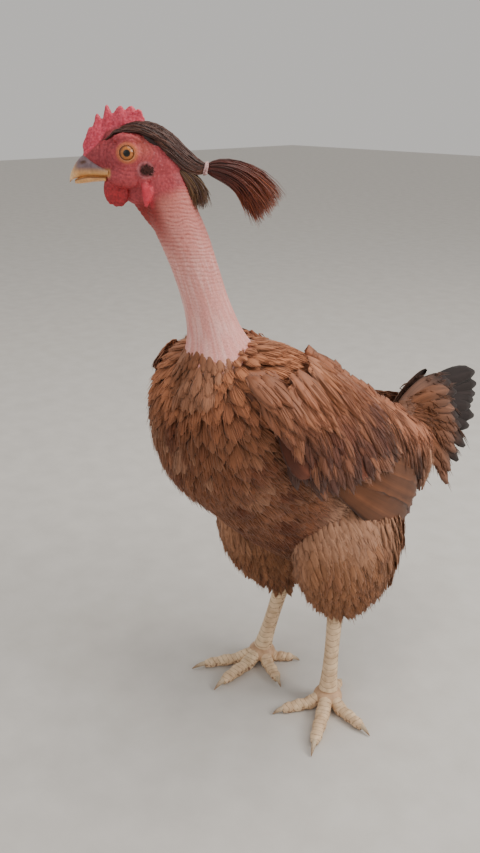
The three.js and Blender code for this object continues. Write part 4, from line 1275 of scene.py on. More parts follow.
def wingLances(draw, seed):  # long narrow feathers that drape over the folded wing
    front, rear = np.array(lanceFeathers["front"], float), np.array(lanceFeathers["rear"], float)
    count = int(lanceFeathers["area"] / lanceFeathers["spacing"] ** 2)
    u, v = draw.random(count), draw.random(count) ** 0.9
    k = np.linspace(0, 1, 4)
    edges = [stacked(*(np.interp(v, k, edge[:, c]) for c in (0, 1))) for edge in (front, rear)]
    spot = mix(*edges, u[:, None])
    y, z = spot.T
    root, normal = flankFrame(y, z, mix(7.0, 9.6, draw.random(count)) * ease(-0.15, 0.3, u))
    fall = np.radians(mix(74, 46, u) + draw.normal(0, 6, count))
    ahead = flankFrame(y + np.cos(fall), z - np.sin(fall), 0.0)[0]
    lie = laidOn(ahead - flankFrame(y, z, 0.0)[0], normal)
    length = lanceFeathers["length"] * draw.uniform(0.8, 1.15, count)
    half = lanceFeathers["half"] * draw.uniform(0.85, 1.2, count)
    lift = 3.4 * draw.uniform(0.8, 1.2, count)
    bend = lift * 0.4 + length ** 2 / 330
    dark = (ease(0.35, 0.75, softNoise(root, 20, 21)) * 0.7)[:, None]
    shade = mix(plumage["wing"], plumage["wingDark"], dark)
    shade = mix(shade, plumage["back"], (ease(272, 318, z) * 0.8)[:, None])
    # random pale feathers, partly painted highlights on the lances
    pale = (draw.random((count, 1)) ** 3) * 0.6
    # painted shade: the lances darken towards the bottom of the wing, to about half at the lowest; they are
    # also darker along the wing's front edge
    shade = shade * (mix(0.48, 1.0, ease(236, 296, z)) * mix(0.8, 1.0, ease(0, 0.3, u)))[:, None]
    # painted highlight: pale added towards the top of the wing
    pale = pale + (0.3 * ease(290, 320, z))[:, None]
    base = mix(shade, plumage["wingPale"], pale) * draw.uniform(0.82, 1.12, (count, 1))
    return contourFeathers(root, normal, lie, length, half, lift, bend, flankPatch(spot), base, base * 1.15,
                           seed, lanceVane, edge=0.25, barbs=6, wide=0.3, vary=0.12, reach=1.02, ragged=0.04)


def saddleLances(draw, seed):  # long feathers from the back down over the root of the tail and the wing's end
    n, rings = saddleFeathers["count"], 12
    share = (np.arange(n) + draw.uniform(-0.4, 0.4, n)) / (n - 1)
    row = np.arange(n) % 3
    start = betweenEnds(saddleFeathers["roots"], share, 1.5, draw)
    end = betweenEnds(saddleFeathers["tips"], share, 3.0, draw)
    end[:, 1] += -12 * np.sin(np.clip(share, 0, 1) * math.pi) + 11 * row
    end[:, 0] += -5 * row
    v = np.linspace(0, 1, rings)
    run = end - start
    bowed = (9 * np.sin(v * math.pi))[None, :, None] * np.array([0.7, 0.5])
    flat = start[:, None] + run[:, None] * v[None, :, None] + bowed
    lift = mix(-3.0, 4.6, np.minimum(1, v * 2))[None] + 1.7 * row[:, None] + draw.normal(0, 0.4, (n, 1)) * v
    line, outward = flankFrame(flat[..., 0], flat[..., 1], lift)
    across, out = courseFrames(line, outward)
    width = saddleFeathers["width"] * draw.uniform(0.85, 1.15, n)
    red = mix(plumage["back"], plumage["wing"], 0.7 * draw.random((n, 1)))
    # painted highlight: the root ends, high on the saddle, are mixed toward the pale wing colour; painted
    # shade: the tips, lower down, are darkened to 0.4 of the red
    base = mix(red, plumage["wingPale"], 0.3) * draw.uniform(0.85, 1.12, (n, 1))
    tip = mix(red * 0.4, plumage["wingPale"], 0.45 * draw.random((n, 1)) ** 3)
    for colour, most, (y, z), (deep, high) in saddleFeathers["spots"]:
        spot = np.exp(-(((end[:, 0] - y) / deep) ** 2 + ((end[:, 1] - z) / high) ** 2))[:, None]
        tip = mix(tip, colour, spot.clip(0, most))
    place = flankPatch(start)
    vanes = vaneTubes(line, across, out, width, 0.4, place, base, tip, seed, shape=lanceVane, camber=1.3,
                      splits=0.6, edge=0.22, shaft=0.35)
    many = n * 5
    k, at = draw.integers(0, n, many), draw.uniform(0.12, 0.9, many) * (rings - 1)
    i = at.astype(int)
    spot = line[k, i] + across[k, i] * (draw.uniform(-0.9, 0.9, many) * width[k])[:, None] + out[k, i] * 1.1
    lie = unit(unit(np.gradient(line, axis=1))[k, i] + 0.12 * across[k, i] * draw.normal(0, 1, (many, 1)))
    shade = mix(base[k], tip[k], ease(0.5, 1, at / (rings - 1))[:, None]) * draw.uniform(0.85, 1.2, (many, 1))
    fine = barbTubes(spot, out[k, i], lie, draw.uniform(12, 20, many), np.full(many, 2.6), np.full(many, 1.3),
                     np.full(many, 1.9), place[k], shade, shade * 1.12, seed + 2, barbs=5, splay=0.4,
                     wide=0.6, vary=0.15)
    return [vanes, fine]


def makeWing(sideName, seed):
    draw = np.random.default_rng(seed)
    quills = [wingVanes(tier, draw, seed + index) for index, tier in enumerate(wingTiers.values())]
    made = {
        "wingQuills": quills,
        "wingLances": wingLances(draw, seed + 5),
        "saddle": saddleLances(draw, seed + 9),
    }
    for name, feathers in made.items():
        if sideName == "Right":
            feathers = flipped(feathers)
        piece = coatObject(name + sideName, feathers)
        materialName, *look = wingLook[name]
        under = ["wing_" + sideName.lower()] + ["torso"] * (name == "saddle")
        finishPiece(piece, featherMaterial(materialName + sideName, *look), under)


makeWing("Left", 100)
makeWing("Right", 140)
print("stage: wings")


# Tail: a tented bunch of arched feathers over soft under feathers

tailShape = {
    "root": (112.0, 222.0),
    "tiers": [  # a side's feathers, from the highest to the lowest
        {
            "count": 8,
            "launch": (26, 0),
            "length": (126, 93),
            "width": 9.5,
            "arch": (34, 36),
            "spread": (4, 20),
            "colours": ("tail", "tail"),
            "barbs": 0,
            "splits": 0.15,
        },
        {
            "count": 9,
            "launch": (46, -8),
            "length": (72, 90),
            "width": 8.5,
            "arch": (46, 56),
            "spread": (8, 26),
            "colours": ("tailPale", "tail"),
            "barbs": 12,
            "splits": 0.4,
        },
        {
            "count": 10,
            "launch": (36, -22),
            "length": (64, 80),
            "width": 8.0,
            "arch": (50, 64),
            "spread": (14, 32),
            "colours": ("rear", "tailPale"),
            "barbs": 16,
            "splits": 0.5,
        },
    ],
    "under": 440,  # soft feathers on both sides of its root
    "look": {"roughness": 0.6, "specular": 0.2, "barbScale": 30.0, "contrast": 0.3},
}


def tailTier(tier, side, draw):  # one side's arched feathers and the fine barbs over them
    n, rings = tier["count"], 14
    v = np.linspace(0, 1, rings)
    share = np.linspace(0, 1, n)
    launch = np.radians(mix(*tier["launch"], share) + draw.normal(0, 2.0, n))
    length = mix(*tier["length"], share) * draw.uniform(0.94, 1.04, n)
    arch = np.radians(mix(*tier["arch"], share))
    spread = mix(*tier["spread"], share)
    turn = launch[:, None] - arch[:, None] * v[None] * 0.5
    y, z = tailShape["root"]
    line = stacked(side * (2 + spread[:, None] * v[None] + 1.2 * share[:, None]),
                   y + length[:, None] * v * np.cos(turn), z + length[:, None] * v * np.sin(turn))
    across, out = courseFrames(line, unit(np.array([side, 0, 0.45])))
    base, tip = (plumage[colour] * draw.uniform(0.8, 1.15, (n, 1)) for colour in tier["colours"])
    place = stacked(0.1 + 0.35 * (side > 0) + 0.3 * share, 0.1 + 0.8 * length / 135)
    vanes = vaneTubes(line, across, out, np.full(n, tier["width"]), 0.5, place, base, tip, 210 + n,
                      shape=plumeVane, splits=tier["splits"], edge=0.15)
    many = n * tier["barbs"]
    if not many:
        return [vanes], []
    k, i = draw.integers(0, n, many), draw.integers(0, rings - 2, many)
    spot = line[k, i] + across[k, i] * draw.uniform(-8, 8, (many, 1)) + out[k, i] * 1.4
    lie = unit(np.gradient(line, axis=1))[k, i] + 0.25 * across[k, i] * draw.normal(0, 1, (many, 1))
    lie = unit(lie + np.array([0, 0, -0.35]))
    shade = mix(base[k], tip[k], ease(0.5, 1.0, i / rings)[:, None]) * draw.uniform(0.85, 1.2, (many, 1))
    fine = barbTubes(spot, out[k, i], lie, draw.uniform(14, 24, many), np.full(many, 3.2), np.full(many, 1.6),
                     np.full(many, 2.6), place[k], shade, shade * 1.15, 230 + n, barbs=5, splay=0.3,
                     wide=0.6, ragged=0.2, vary=0.15)
    return [vanes], [fine]


def tailUnder(draw):  # soft feathers that hang from both sides of the tail's root
    many = tailShape["under"]
    side = np.where(draw.random(many) > 0.5, 1.0, -1.0)
    y, z = draw.uniform(96, 150, many), draw.uniform(-1, 1, many)
    level = mix(224, 200, (y - 96) / 54) + 24 * z
    spot = stacked(side * (mix(30, 8, (y - 96) / 54) * np.sqrt(1 - 0.6 * z ** 2)), y, level)
    out = unit(stacked(side, 0.35, 0.25 * z))
    lie = np.array([0, 0.75, -0.8]) + np.array([0, 0.2, 0.5]) * z[:, None] + draw.normal(0, 0.12, (many, 3))
    lie = laidOn(lie, out)
    shade = mix(plumage["rear"], plumage["tailPale"], draw.random((many, 1)) * 0.8)
    shade = shade * draw.uniform(0.8, 1.2, (many, 1))
    place = stacked(0.2 + 0.3 * side, 0.5 + 0.4 * z)
    return contourFeathers(spot, out, lie, draw.uniform(26, 40, many), draw.uniform(4, 6, many),
                           np.full(many, 5.0), np.full(many, 6.5), place, shade, shade * 1.15, 260,
                           lanceVane, barbs=6, wide=0.5, vary=0.15)


def makeTail():
    draw = np.random.default_rng(200)
    main, soft = [], []
    for tier in tailShape["tiers"]:
        for side in (1, -1):
            vanes, fine = tailTier(tier, side, draw)
            main += vanes
            soft += fine
    soft += tailUnder(draw)
    piece = coatObject("tailFeathers", main)
    finishPiece(piece, featherMaterial("tailVanes", **tailShape["look"]), ["tail"])
    piece = coatObject("tailFluff", soft)
    finishPiece(piece, featherMaterial("tailSoft", 0.7, 0.2), ["tail"])


makeTail()
print("stage: tail")


# Head tuft: fine plumes combed back to the tie, the plume behind it, and loose ones at the nape

tuft = {
    "rows": [  # the combed cap: forward, highest z, lowest z, half width
        [17.5, 7, 2.5, 6.6], [12, 12.5, 7.5, 6.0], [5, 15.6, 9, 8], [-6, 17.6, 6, 11.5],
        [-16, 16.2, -3, 14], [-26, 10.6, -9, 12.6], [-35, 2.2, -14.8, 8.8], [-42, -4.2, -15.6, 5.4],
        [-46, -6.8, -14, 3.5], [-48.6, -7.4, -13.4, 2.9],
    ],
    "edge": [  # how far down its sides it grows: forward, degrees from the top
        (17.5, 100), (14, 80), (10, 55), (5, 46), (-8, 52), (-14, 68), (-18, 88), (-21, 100), (-29, 120),
    ],
    "tie": (-48.6, -10.4),
    "crown": fromSrgb(70, 42, 36),
    "crownPale": fromSrgb(120, 72, 50),
    "plume": fromSrgb(98, 38, 28),
    "plumeTip": fromSrgb(176, 92, 54),
    "nape": fromSrgb(112, 84, 56),
    "crownCount": 2300,
    "plumeCount": 1700,
    "napeCount": 520,
    "look": {"roughness": 0.4, "specular": 0.4, "barbScale": 20.0, "contrast": 0.3},
}


def strandTubes(line, outward, width, thick, place, base, tip, seed):
    draw = np.random.default_rng(seed)
    n, rings = line.shape[:2]
    across, out = courseFrames(line, outward)
    v = np.linspace(0, 1, rings)
    girth = np.interp(v, [0, 0.2, 0.65, 1], [0.7, 1, 0.85, 0.12])[None, :, None]
    side = across * (width[:, None, None] * girth)
    top = out * (thick * girth)
    points = np.stack([line - side, line + top, line + side], axis=2)
    u = np.broadcast_to(np.array([0, 0.5, 1])[None, None], (n, rings, 3))
    vv = np.broadcast_to(v[None, :, None], (n, rings, 3))
    vane = stacked(u * 0.3 + draw.uniform(0, 30, (n, 1, 1)), vv)
    bake = place[:, None, None] + (stacked(u, vv) - 0.5) * 0.003
    fade = ease(0.4, 1, vv)[..., None]
    tint = mix(base[:, None, None], tip[:, None, None], fade)
    return points, vane.reshape(-1, 2), bake.reshape(-1, 2), tint.reshape(-1, 3)


def capRows(f):  # middle height, half height and half width of the cap at each place
    rows = track(tuft["rows"], np.linspace(0, 1, 200))
    top, low, half = (np.interp(-f, -rows[:, 0], rows[:, k]) for k in (1, 2, 3))
    return (top + low) / 2, (top - low) / 2, half


def crownLines(start, angle, v, lift):  # from the crown back to the tie, over the cap
    f = mix(start[:, None], tuft["tie"][0] + 0.4, v[None])
    middle, rise, half = capRows(f)
    swell = lift[:, None] * np.sin(v * math.pi)[None] * np.clip(half / 9, 0.25, 1)
    target = np.clip(np.abs(angle), 0, 2.1)[:, None] * 1.32
    pulled = np.where(start[:, None] > 9, np.minimum(target, 1.15), target)
    spin = np.sign(angle)[:, None] * mix(np.abs(angle)[:, None], pulled, ease(0, 40, start[:, None] - f))
    line = stacked(np.sin(spin) * (half + swell), -f, middle + np.cos(spin) * (rise + swell))
    outward = unit(stacked(np.sin(spin) * rise, 0, np.cos(spin) * half))
    return line, outward


def bowLines(points, steps):  # Bezier curves through four control points each
    t = np.linspace(0, 1, steps)
    share = stacked((1 - t) ** 3, 3 * t * (1 - t) ** 2, 3 * t * t * (1 - t), t ** 3)
    return np.einsum("rk,nkc->nrc", share, points)


def headStrands(line, outward, *rest):
    return strandTubes(headToBird(line), headToBird(outward) - headPivot, *rest)


def crownStrands(draw):
    n = tuft["crownCount"]
    edge = np.array(tuft["edge"], float)
    start = np.concatenate([draw.uniform(-30, 17, n * 3 // 4), draw.uniform(-42, -20, n - n * 3 // 4)])
    limit = np.interp(-start, -edge[:, 0], edge[:, 1])
    share = draw.uniform(-1, 1, n)
    parted = np.sign(share) * mix(0.75, 1.0, np.abs(share))  # to both sides of the comb
    share = np.where(start > 9, parted, share)
    angle = np.radians(share * (limit + draw.normal(0, 3, n)))
    v = np.linspace(0, 1, 9)
    line, outward = crownLines(start, angle, v, draw.uniform(-0.9, 0.9, n))
    line[:, 0] -= outward[:, 0] * 2.4
    line[:, 1] -= outward[:, 1] * 0.2
    line[:, 1:-1] += draw.normal(0, 0.14, (n, 7, 3)) + draw.normal(0, 0.3, (n, 1, 3))
    low = ease(60, 110, np.degrees(np.abs(angle)))[:, None]
    pale = (draw.random((n, 1)) ** 2.2) * (0.5 + 0.5 * low)
    base = mix(tuft["crown"], tuft["crownPale"], pale) * draw.uniform(0.6, 1.2, (n, 1))
    tip = mix(base, tuft["plumeTip"], (draw.random((n, 1)) ** 2) * (0.15 + 0.5 * low))
    place = stacked(0.05 + 0.9 * (start + 43) / 57, 0.5 + angle / 5)
    return headStrands(line, outward, draw.uniform(0.35, 0.7, n), 0.3, place, base, tip, 301)


def capCore(draw):  # the close-packed feathers under the outer ones
    depth = 2.6
    f = np.linspace(7, -47, 40)[:, None]
    middle, rise, half = capRows(f)
    spin = fullTurn(28)[None]
    rise, half = np.maximum(rise - depth, 0.9), np.maximum(half - depth, 1.2)
    points = stacked(np.sin(spin) * half, -f, middle - 0.4 + np.cos(spin) * rise)
    count = points.shape[0] * points.shape[1]
    patch = np.full((count, 2), 0.02) + draw.random((count, 2)) * 0.003
    # painted shade: the core is tinted at half the crown colour, for the dark depths between the strands
    tint = np.tile(tuft["crown"] * 0.5, (count, 1))
    return headToBird(points)[None], np.full((count, 2), 0.5), patch, tint


def napeStrands(draw):
    m = tuft["napeCount"]
    x, back = draw.uniform(-1, 1, m), draw.random(m)
    loose = draw.normal(0, 1, (m, 2))
    points = np.stack([
        stacked(x * 7.5, 29 + 8 * back, mix(-8, -12, back)),
        stacked(x * 9.5, 37 + 9 * back, mix(-17, -15, back)),
        stacked(x * 9, 40 + 9 * back + 0.6 * loose[:, 0], -23.5 + loose[:, 1]),
        stacked(x * 7 + loose[:, 0], 40.5 + 8 * back + 2.2 * loose[:, 1], -26 - 10 * draw.random(m))], axis=1)
    line = bowLines(points, 8)
    outward = unit(stacked(x * 1.2, 0.3 + back, 0.1))[:, None] + 0 * line
    shade = mix(tuft["nape"], tuft["crown"], draw.random((m, 1)) ** 1.3) * draw.uniform(0.7, 1.2, (m, 1))
    place = stacked(0.3 + 0.2 * x, 0.95)
    return headStrands(line, outward, draw.uniform(0.35, 0.7, m), 0.3, place, shade, shade * 1.35, 303)


def plumeStrands(draw):
    n = tuft["plumeCount"]
    ring, spin = np.sqrt(draw.random(n)), draw.uniform(0, 2 * math.pi, n)
    px, up = ring * np.cos(spin), ring * np.sin(spin)
    share = (0.5 + 0.5 * up)[:, None]
    high = np.array([[0, 2.6], [8, 8], [33, 9], [49, -15]])  # back and up from the tie
    low = np.array([[0, -2.6], [7, -9], [22, -9], [31, -34]])
    loose = draw.normal(0, 0.5, (n, 4, 2)) * np.array([0, 1, 1.6, 2.6])[:, None]
    course = mix(low[None], high[None], share[..., None]) + loose
    course *= mix(1, draw.uniform(0.74, 1.06, (n, 1)), np.array([0, 0.3, 0.8, 1])[None])[..., None]
    wide = px[:, None] * np.array([2.8, 5.5, 9.5, 12.5])
    wide = wide + draw.normal(0, 1.0, (n, 1)) * np.array([0, 0.3, 0.8, 1.2])
    tieY, tieZ = -tuft["tie"][0] + 0.5, tuft["tie"][1]
    line = bowLines(stacked(wide, tieY + course[..., 0], tieZ + course[..., 1]), 9)
    outward = unit(stacked(px * 0.9, 0.25, 0.5 + up))[:, None] + 0 * line
    base = mix(tuft["plume"], tuft["crown"], draw.random((n, 1)) ** 1.5) * draw.uniform(0.6, 1.2, (n, 1))
    tip = mix(tuft["plumeTip"], tuft["plume"], draw.random((n, 1)) ** 0.8) * draw.uniform(0.7, 1.15, (n, 1))
    place = stacked(0.5 + px * 0.4, 0.5 + up * 0.4)
    return headStrands(line, outward, draw.uniform(0.35, 0.75, n), 0.3, place, base, tip, 305)


def makeTuft():
    draw = np.random.default_rng(300)
    piece = coatObject("crestFeathers", [capCore(draw), crownStrands(draw), napeStrands(draw)])
    finishPiece(piece, featherMaterial("crestPlumes", **tuft["look"]), ["crest"])
    piece = coatObject("plumeFeathers", [plumeStrands(draw)])
    finishPiece(piece, featherMaterial("plumePlumes", **tuft["look"]), ["plume"])


makeTuft()
print("stage: tuft")


# The elastic tie

tie = {
    "radius": 3.6,  # to the middle of its cord
    "cord": 0.72,
    "turns": 2,
    "lean": 0.16,
    "knot": (1.5, 1.2, 1.1),
}
tieLook = {
    "roughness": 0.7,
    "specular": 0.3,
    "grain": (1500.0, 3.0),
    "stops": [(0.35, (0.42, 0.20, 0.2)), (0.6, (0.74, 0.5, 0.48))],
    "bump": (1500.0, 3.0, 0.6, 0.0003),
    "tinted": False,
    "sheen": 0.2,
}


def makeTie():
    tieY, tieZ = -tuft["tie"][0], tuft["tie"][1]
    parts = []
    for turn in range(tie["turns"]):
        a = fullTurn(140)[:, None]
        b = fullTurn(12)[None]
        cord = tie["cord"] * (1 + 0.09 * np.cos(44 * a + b))
        radius = tie["radius"] + 0.12 * np.sin(3 * a + turn * 2) + cord * np.cos(b)
        y = tieY + (turn - 0.5) * 1.15 + 0.28 * np.sin(2 * a + turn) + cord * np.sin(b)
        lean = tie["lean"] * radius * np.sin(a)
        points, faces = closedLoop(stacked(radius * np.cos(a), y + lean, tieZ + radius * np.sin(a)))
        parts.append((points, faces[:, ::-1]))
    parts.append(ballPoints((tie["radius"] * 0.8, tieY, tieZ - tie["radius"] * 0.75), tie["knot"], 20, 14))
    points, faces = joinedParts(parts)
    band = meshObject("hairTie", headToBird(points), faces)
    finishPiece(band, mottled("elasticBand", **tieLook), ["hair_tie"])


makeTie()


# Eyes

eye = {
    "iris": 4.4,
    "pupil": 2.1,
    "amber": np.array([0.60, 0.20, 0.035]),
    "rim": np.array([0.13, 0.035, 0.012]),
    "black": np.array([0.002, 0.002, 0.002]),
}
eyeLook = {
    "roughness": 0.4,
    "specular": 0.3,
    "grain": (2200.0, 3.0),
    "stops": [(0.3, (0.75, 0.75, 0.75)), (0.7, (1.2, 1.15, 1.1))],
    "coat": 0.45,
    "coatRoughness": 0.03,
}


def makeEye(sideName, side):
    v = np.linspace(0.01, math.pi - 0.01, 40)[:, None]
    u = fullTurn(64)[None]
    r = headSize["eyeRadius"] - 0.1 + 0.75 * np.exp(-(v / 0.55) ** 4)
    points, faces = shaped(stacked(r * np.cos(v), r * np.sin(v) * np.cos(u), r * np.sin(v) * np.sin(u)))
    if side < 0:
        points = points * np.array([-1, 1, 1])
        faces = faces[:, ::-1]
    reach = np.hypot(points[:, 1], points[:, 2])
    spokes = softNoise(stacked(np.arctan2(points[:, 2], points[:, 1]) * 6, reach * 0.5, 0), 1.0, 3)
    iris = mix(eye["amber"], eye["rim"], (0.45 * spokes)[:, None])
    iris = mix(iris, eye["rim"], ease(eye["iris"] - 1.2, eye["iris"], reach)[:, None])
    tint = np.where((reach < eye["pupil"])[:, None], eye["black"], iris)
    tint = np.where((points[:, 0] * side > 0)[:, None], tint, eye["rim"])
    centre = np.array([side * headSize["eyeReach"], 0, 0])
    piece = meshObject("eye" + sideName, headToBird(points + centre), faces, tint=tint)
    finishPiece(piece, mottled("eyeGlass" + sideName, **eyeLook), ["eye_" + sideName.lower()])


makeEye("Left", 1)
makeEye("Right", -1)


# Bill

bill = {
    "upper": [  # forward, highest z, lowest z, half width
        [13, -9.4, -15.2, 10.2], [18, -7, -15.3, 8.7], [23, -3, -15.2, 7.2], [27, -0.6, -15.2, 6.2],
        [30.8, -2.6, -15.4, 5.4], [34.6, -6.4, -16.2, 4.3], [37.4, -11, -17.4, 3],
        [39, -14.8, -18.8, 1.6], [39.4, -17.6, -19.6, 0.6],
    ],
    "lower": [
        [15, -14.2, -18.2, 8.6], [20, -14.2, -18.4, 6.9], [26, -14.4, -19.0, 5.2],
        [30, -14.8, -19.5, 4.2], [33.4, -15.8, -19.8, 3.0], [35.9, -17.2, -19.7, 1.5],
    ],
    "horn": fromSrgb(226, 168, 104),
    "hornTip": fromSrgb(240, 204, 156),
    "culmen": fromSrgb(122, 100, 108),
    # dark is also painted shade in the nostril and along the mouth line
    "dark": fromSrgb(96, 58, 44),
}
billLook = {
    "roughness": 0.36,
    "specular": 0.5,
    "grain": (500.0, 4.0),
    "stops": [(0.3, (0.86, 0.82, 0.78)), (0.7, (1.08, 1.06, 1.04))],
    "bump": (700.0, 4.0, 0.2, 0.0003),
    "coat": 0.15,
    "subsurface": 0.1,
}


def makeBill(half):
    p, faces = shaped(headTube(bill[half], 56, 70, 0.9))
    x, f, z = p[:, 0], -p[:, 1], p[:, 2]
    colour = mix(bill["horn"], bill["hornTip"], ease(32, 40, f)[:, None])
    if half == "upper":
        nostril = np.exp(-(((f - 29.4) / 2.4) ** 2 + ((z + 6.4 + 0.25 * (f - 30)) / 1.0) ** 2))
        p = p - stacked(np.sign(x) * 1.4 * nostril, 0, 0)
        cover = np.exp(-(((f - 28) / 3.6) ** 2 + ((z + 5.8) / 1.5) ** 2))
        p = p + stacked(np.sign(x) * 0.7 * cover, 0, 0)
        colour = mix(colour, bill["culmen"], (ease(39, 32, f) * ease(-13.2, -8.5, z))[:, None])
        # painted shade in the nostril's hollow
        colour = mix(colour, bill["dark"], (nostril * 1.3).clip(0, 1)[:, None])
    # painted shadow along the mouth line, where the upper bill closes over the lower
    mouthShadow = np.exp(-((z + 15.4 + 0.24 * np.maximum(f - 27, 0)) / 0.5) ** 2)[:, None]
    colour = mix(colour, bill["dark"], mouthShadow * 0.75)
    growth = softNoise(stacked(x, f * 3, z), 2.0, 12)[:, None]
    name = "bill" + half.capitalize()
    piece = meshObject(name, headToBird(p), faces, tint=colour * (0.85 + 0.25 * growth))
    finishPiece(piece, mottled(name + "Horn", **billLook), ["beak_" + half])


makeBill("upper")
makeBill("lower")


# Ear patches: small stiff dark feathers in a pale ring

earPatch = {
    "centre": (11.0, -9.6),  # back and up from the eye
    "size": (3.9, 3.9),
    "tiers": [  # count, nearest and furthest from the middle, colour, length
        (520, 0.0, 0.95, fromSrgb(84, 46, 42), 3.2),
        (150, 1.0, 1.4, fromSrgb(196, 128, 118), 2.0),
    ],
}


def makeEarPatch(sideName, side, seed):
    draw = np.random.default_rng(seed)
    batches = []
    for count, near, far, shade, length in earPatch["tiers"]:
        a = draw.uniform(0, 2 * math.pi, count)
        r = np.sqrt(draw.uniform(near ** 2, far ** 2, count))
        (back, up), (deep, high) = earPatch["centre"], earPatch["size"]
        root = stacked(side * (13.0 - 1.0 * r ** 2), back + deep * r * np.cos(a), up - high * r * np.sin(a))
        lie = unit(stacked(side * 0.3, 0.75 + 0.2 * np.cos(a), -0.45 + 0.2 * np.sin(a))
                   + draw.normal(0, 0.2, (count, 3)))
        grown = length * draw.uniform(0.6, 1.1, count)
        line = root[:, None] + lie[:, None] * grown[:, None, None] * np.linspace(0, 1, 4)[None, :, None]
        line[..., 0] += side * 0.6 * np.sin(np.linspace(0, 1, 4) * math.pi)
        out = np.broadcast_to(np.array([side, 0, 0.2]), line.shape)
        colour = shade * draw.uniform(0.6, 1.3, (count, 1))
        place = stacked(0.5 + 0.3 * r * np.cos(a), 0.5 + 0.3 * r * np.sin(a))
        width = draw.uniform(0.14, 0.3, count)
        batches.append(headStrands(line, out, width, 0.15, place, colour, colour * 1.2, seed + 1))
    piece = coatObject("earFeathers" + sideName, batches)
    material = featherMaterial("earPlumes" + sideName)
    finishPiece(piece, material, ["ear_patch_" + sideName.lower()])


makeEarPatch("Left", 1, 400)
makeEarPatch("Right", -1, 404)
print("stage: head pieces")


# Scaled legs and claws

scale = {
    "skin": fromSrgb(240, 214, 178),
    "skinDeep": fromSrgb(204, 166, 132),
    "seam": fromSrgb(140, 104, 82),
    "claw": fromSrgb(206, 186, 158),
    "clawTip": fromSrgb(150, 122, 96),
}
scaleLook = {
    "roughness": 0.5,
    "specular": 0.45,
    "grain": (160.0, 5.0),
    "stops": [(0.3, (0.74, 0.68, 0.62)), (0.6, (1.05, 1.04, 1.02))],
    "bump": (900.0, 4.0, 0.3, 0.0003),
}
clawLook = {
    "roughness": 0.4,
    "specular": 0.5,
    "grain": (600.0, 4.0),
    "stops": [(0.3, (0.8, 0.76, 0.7)), (0.7, (1.08, 1.06, 1.04))],
    "bump": (800.0, 3.0, 0.2, 0.0002),
    "coat": 0.1,
}
shankRows = [  # share of the way down, half width, half depth
    (0, 7.6, 8.4), (0.15, 6.8, 7.8), (0.35, 6.0, 6.8), (0.6, 5.9, 6.6), (0.8, 6.6, 7.0), (0.95, 8, 8),
]
footPad = {
    "height": 8.6,
    "radii": (12.3, 12.3, 8.8),
}
toeRows = {  # share of the way out, then height, half width and half depth in toe radii
    "root": [(0.02, 9.5, 0.9, 0.9), (0.2, 7.4, 0.95, 0.95)],  # here the height is in mm
    "toe": [
        (0.33, 0.84, 1, 1), (0.42, 0.8, 0.84, 0.82), (0.52, 0.84, 0.94, 0.92), (0.63, 0.8, 0.76, 0.76),
        (0.72, 0.8, 0.8, 0.8), (0.82, 0.66, 0.48, 0.52),
    ],
    "claw": [
        (0.75, 0.86, 0.36, 0.44), (0.84, 0.84, 0.34, 0.42), (0.92, 0.62, 0.24, 0.3), (1.0, 0.2, 0.05, 0.08),
    ],
}


def scaled(stations, across, around, steps, pitch, seed):
    rings, _, angle = limbRings(np.array(stations, float), across, around, steps)
    centre = rings.mean(axis=1, keepdims=True)
    arc = arcLength(centre[:, 0])
    face = ease(0.05, 0.55, np.cos(angle))[None]
    bow = 0.9 * np.sin(angle)[None] ** 2
    cell = (arc[:, None] / pitch + bow * 0.5) % 1
    plate = np.clip(np.minimum(cell / 0.16, (1 - cell) / 0.5), 0, 1) ** 0.6
    small = nearestBumps(rings.reshape(-1, 3), 1.9, seed).reshape(rings.shape[:2])
    relief = 0.42 * plate * face + 0.26 * small * (1 - face)
    outward = unit(rings - centre)
    rings = rings + outward * relief[..., None]
    depth = np.where(face > 0.5, plate, small)
    colour = mix(scale["skin"], scale["skinDeep"], softNoise(rings, 14, 7)[..., None] * 0.7)
    colour = mix(scale["seam"], colour, ease(0.0, 0.5, depth)[..., None])
    points, faces = shaped(rings)
    points[:, 2] = np.maximum(points[:, 2], 0.0)
    return points, faces, colour.reshape(-1, 3)


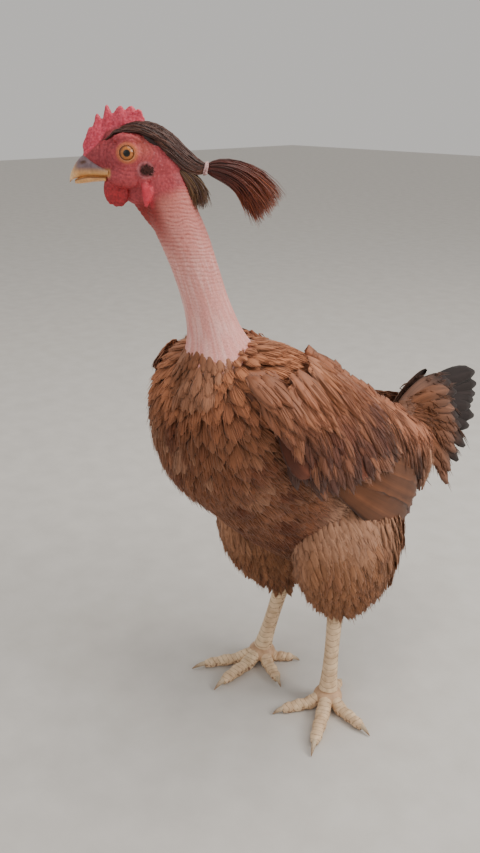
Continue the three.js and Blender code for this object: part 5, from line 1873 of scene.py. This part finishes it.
def toeStations(foot, out, length, radius, part):
    rows = []
    for share, z, wide, deep in toeRows[part]:
        height = z if part == "root" else radius * z
        x, y = (middle + way * length * share for middle, way in zip(foot, out))
        rows.append([x, y, height, radius * wide, radius * deep])
    return rows


def makeLeg(sideName, leg, seed):
    fx, fy = leg["foot"]
    hx, hy, hz = leg["hock"]
    turn = math.radians(leg["toes"]["middle"][0])
    side = np.array([math.cos(turn), math.sin(turn), 0])
    shank = [[mix(hx, fx, t), mix(hy, fy, t), mix(hz, 11, t), wide, deep] for t, wide, deep in shankRows]
    parts = [scaled(shank, side, 44, 190, 5.4, seed)]
    pad = ballPoints((fx, fy, footPad["height"]), footPad["radii"], 40, 26)
    pad[0][:, 2] = np.maximum(pad[0][:, 2], 0.0)
    parts.append((*pad, np.tile(scale["skinDeep"], (len(pad[0]), 1))))
    claws = []
    for index, (degrees, length, radius) in enumerate(leg["toes"].values()):
        angle = math.radians(degrees)
        out = (math.sin(angle), -math.cos(angle))
        toeSide = np.array([math.cos(angle), math.sin(angle), 0])
        root, toe, claw = (toeStations((fx, fy), out, length, radius, part) for part in toeRows)
        parts.append(scaled(root + toe, toeSide, 32, 110, 4.2, seed + index))
        rings, t, _ = limbRings(np.array(claw), toeSide, 18, 30)
        points, faces = shaped(rings)
        points[:, 2] = np.maximum(points[:, 2], 0.0)
        colour = np.repeat(mix(scale["claw"], scale["clawTip"], ease(0.3, 1, t)[:, None]), 18, axis=0)
        claws.append((points, faces, colour))
    low = sideName.lower()
    points, faces = joinedParts([(p, f) for p, f, _ in parts])
    foot = meshObject("legSkin" + sideName, points, faces, tint=np.concatenate([c for _, _, c in parts]))
    material = mottled("legScale" + sideName, **scaleLook)
    finishPiece(foot, material, ["shank_" + low] + [f"toe_{toe}_{low}" for toe in leg["toes"]])
    points, faces = joinedParts([(p, f) for p, f, _ in claws])
    nails = meshObject("claws" + sideName, points, faces, tint=np.concatenate([c for _, _, c in claws]))
    material = mottled("clawHorn" + sideName, **clawLook)
    finishPiece(nails, material, [f"claw_{toe}_{low}" for toe in leg["toes"]])


makeLeg("Left", legSize["left"], 500)
makeLeg("Right", legSize["right"], 520)
print("stage: legs")
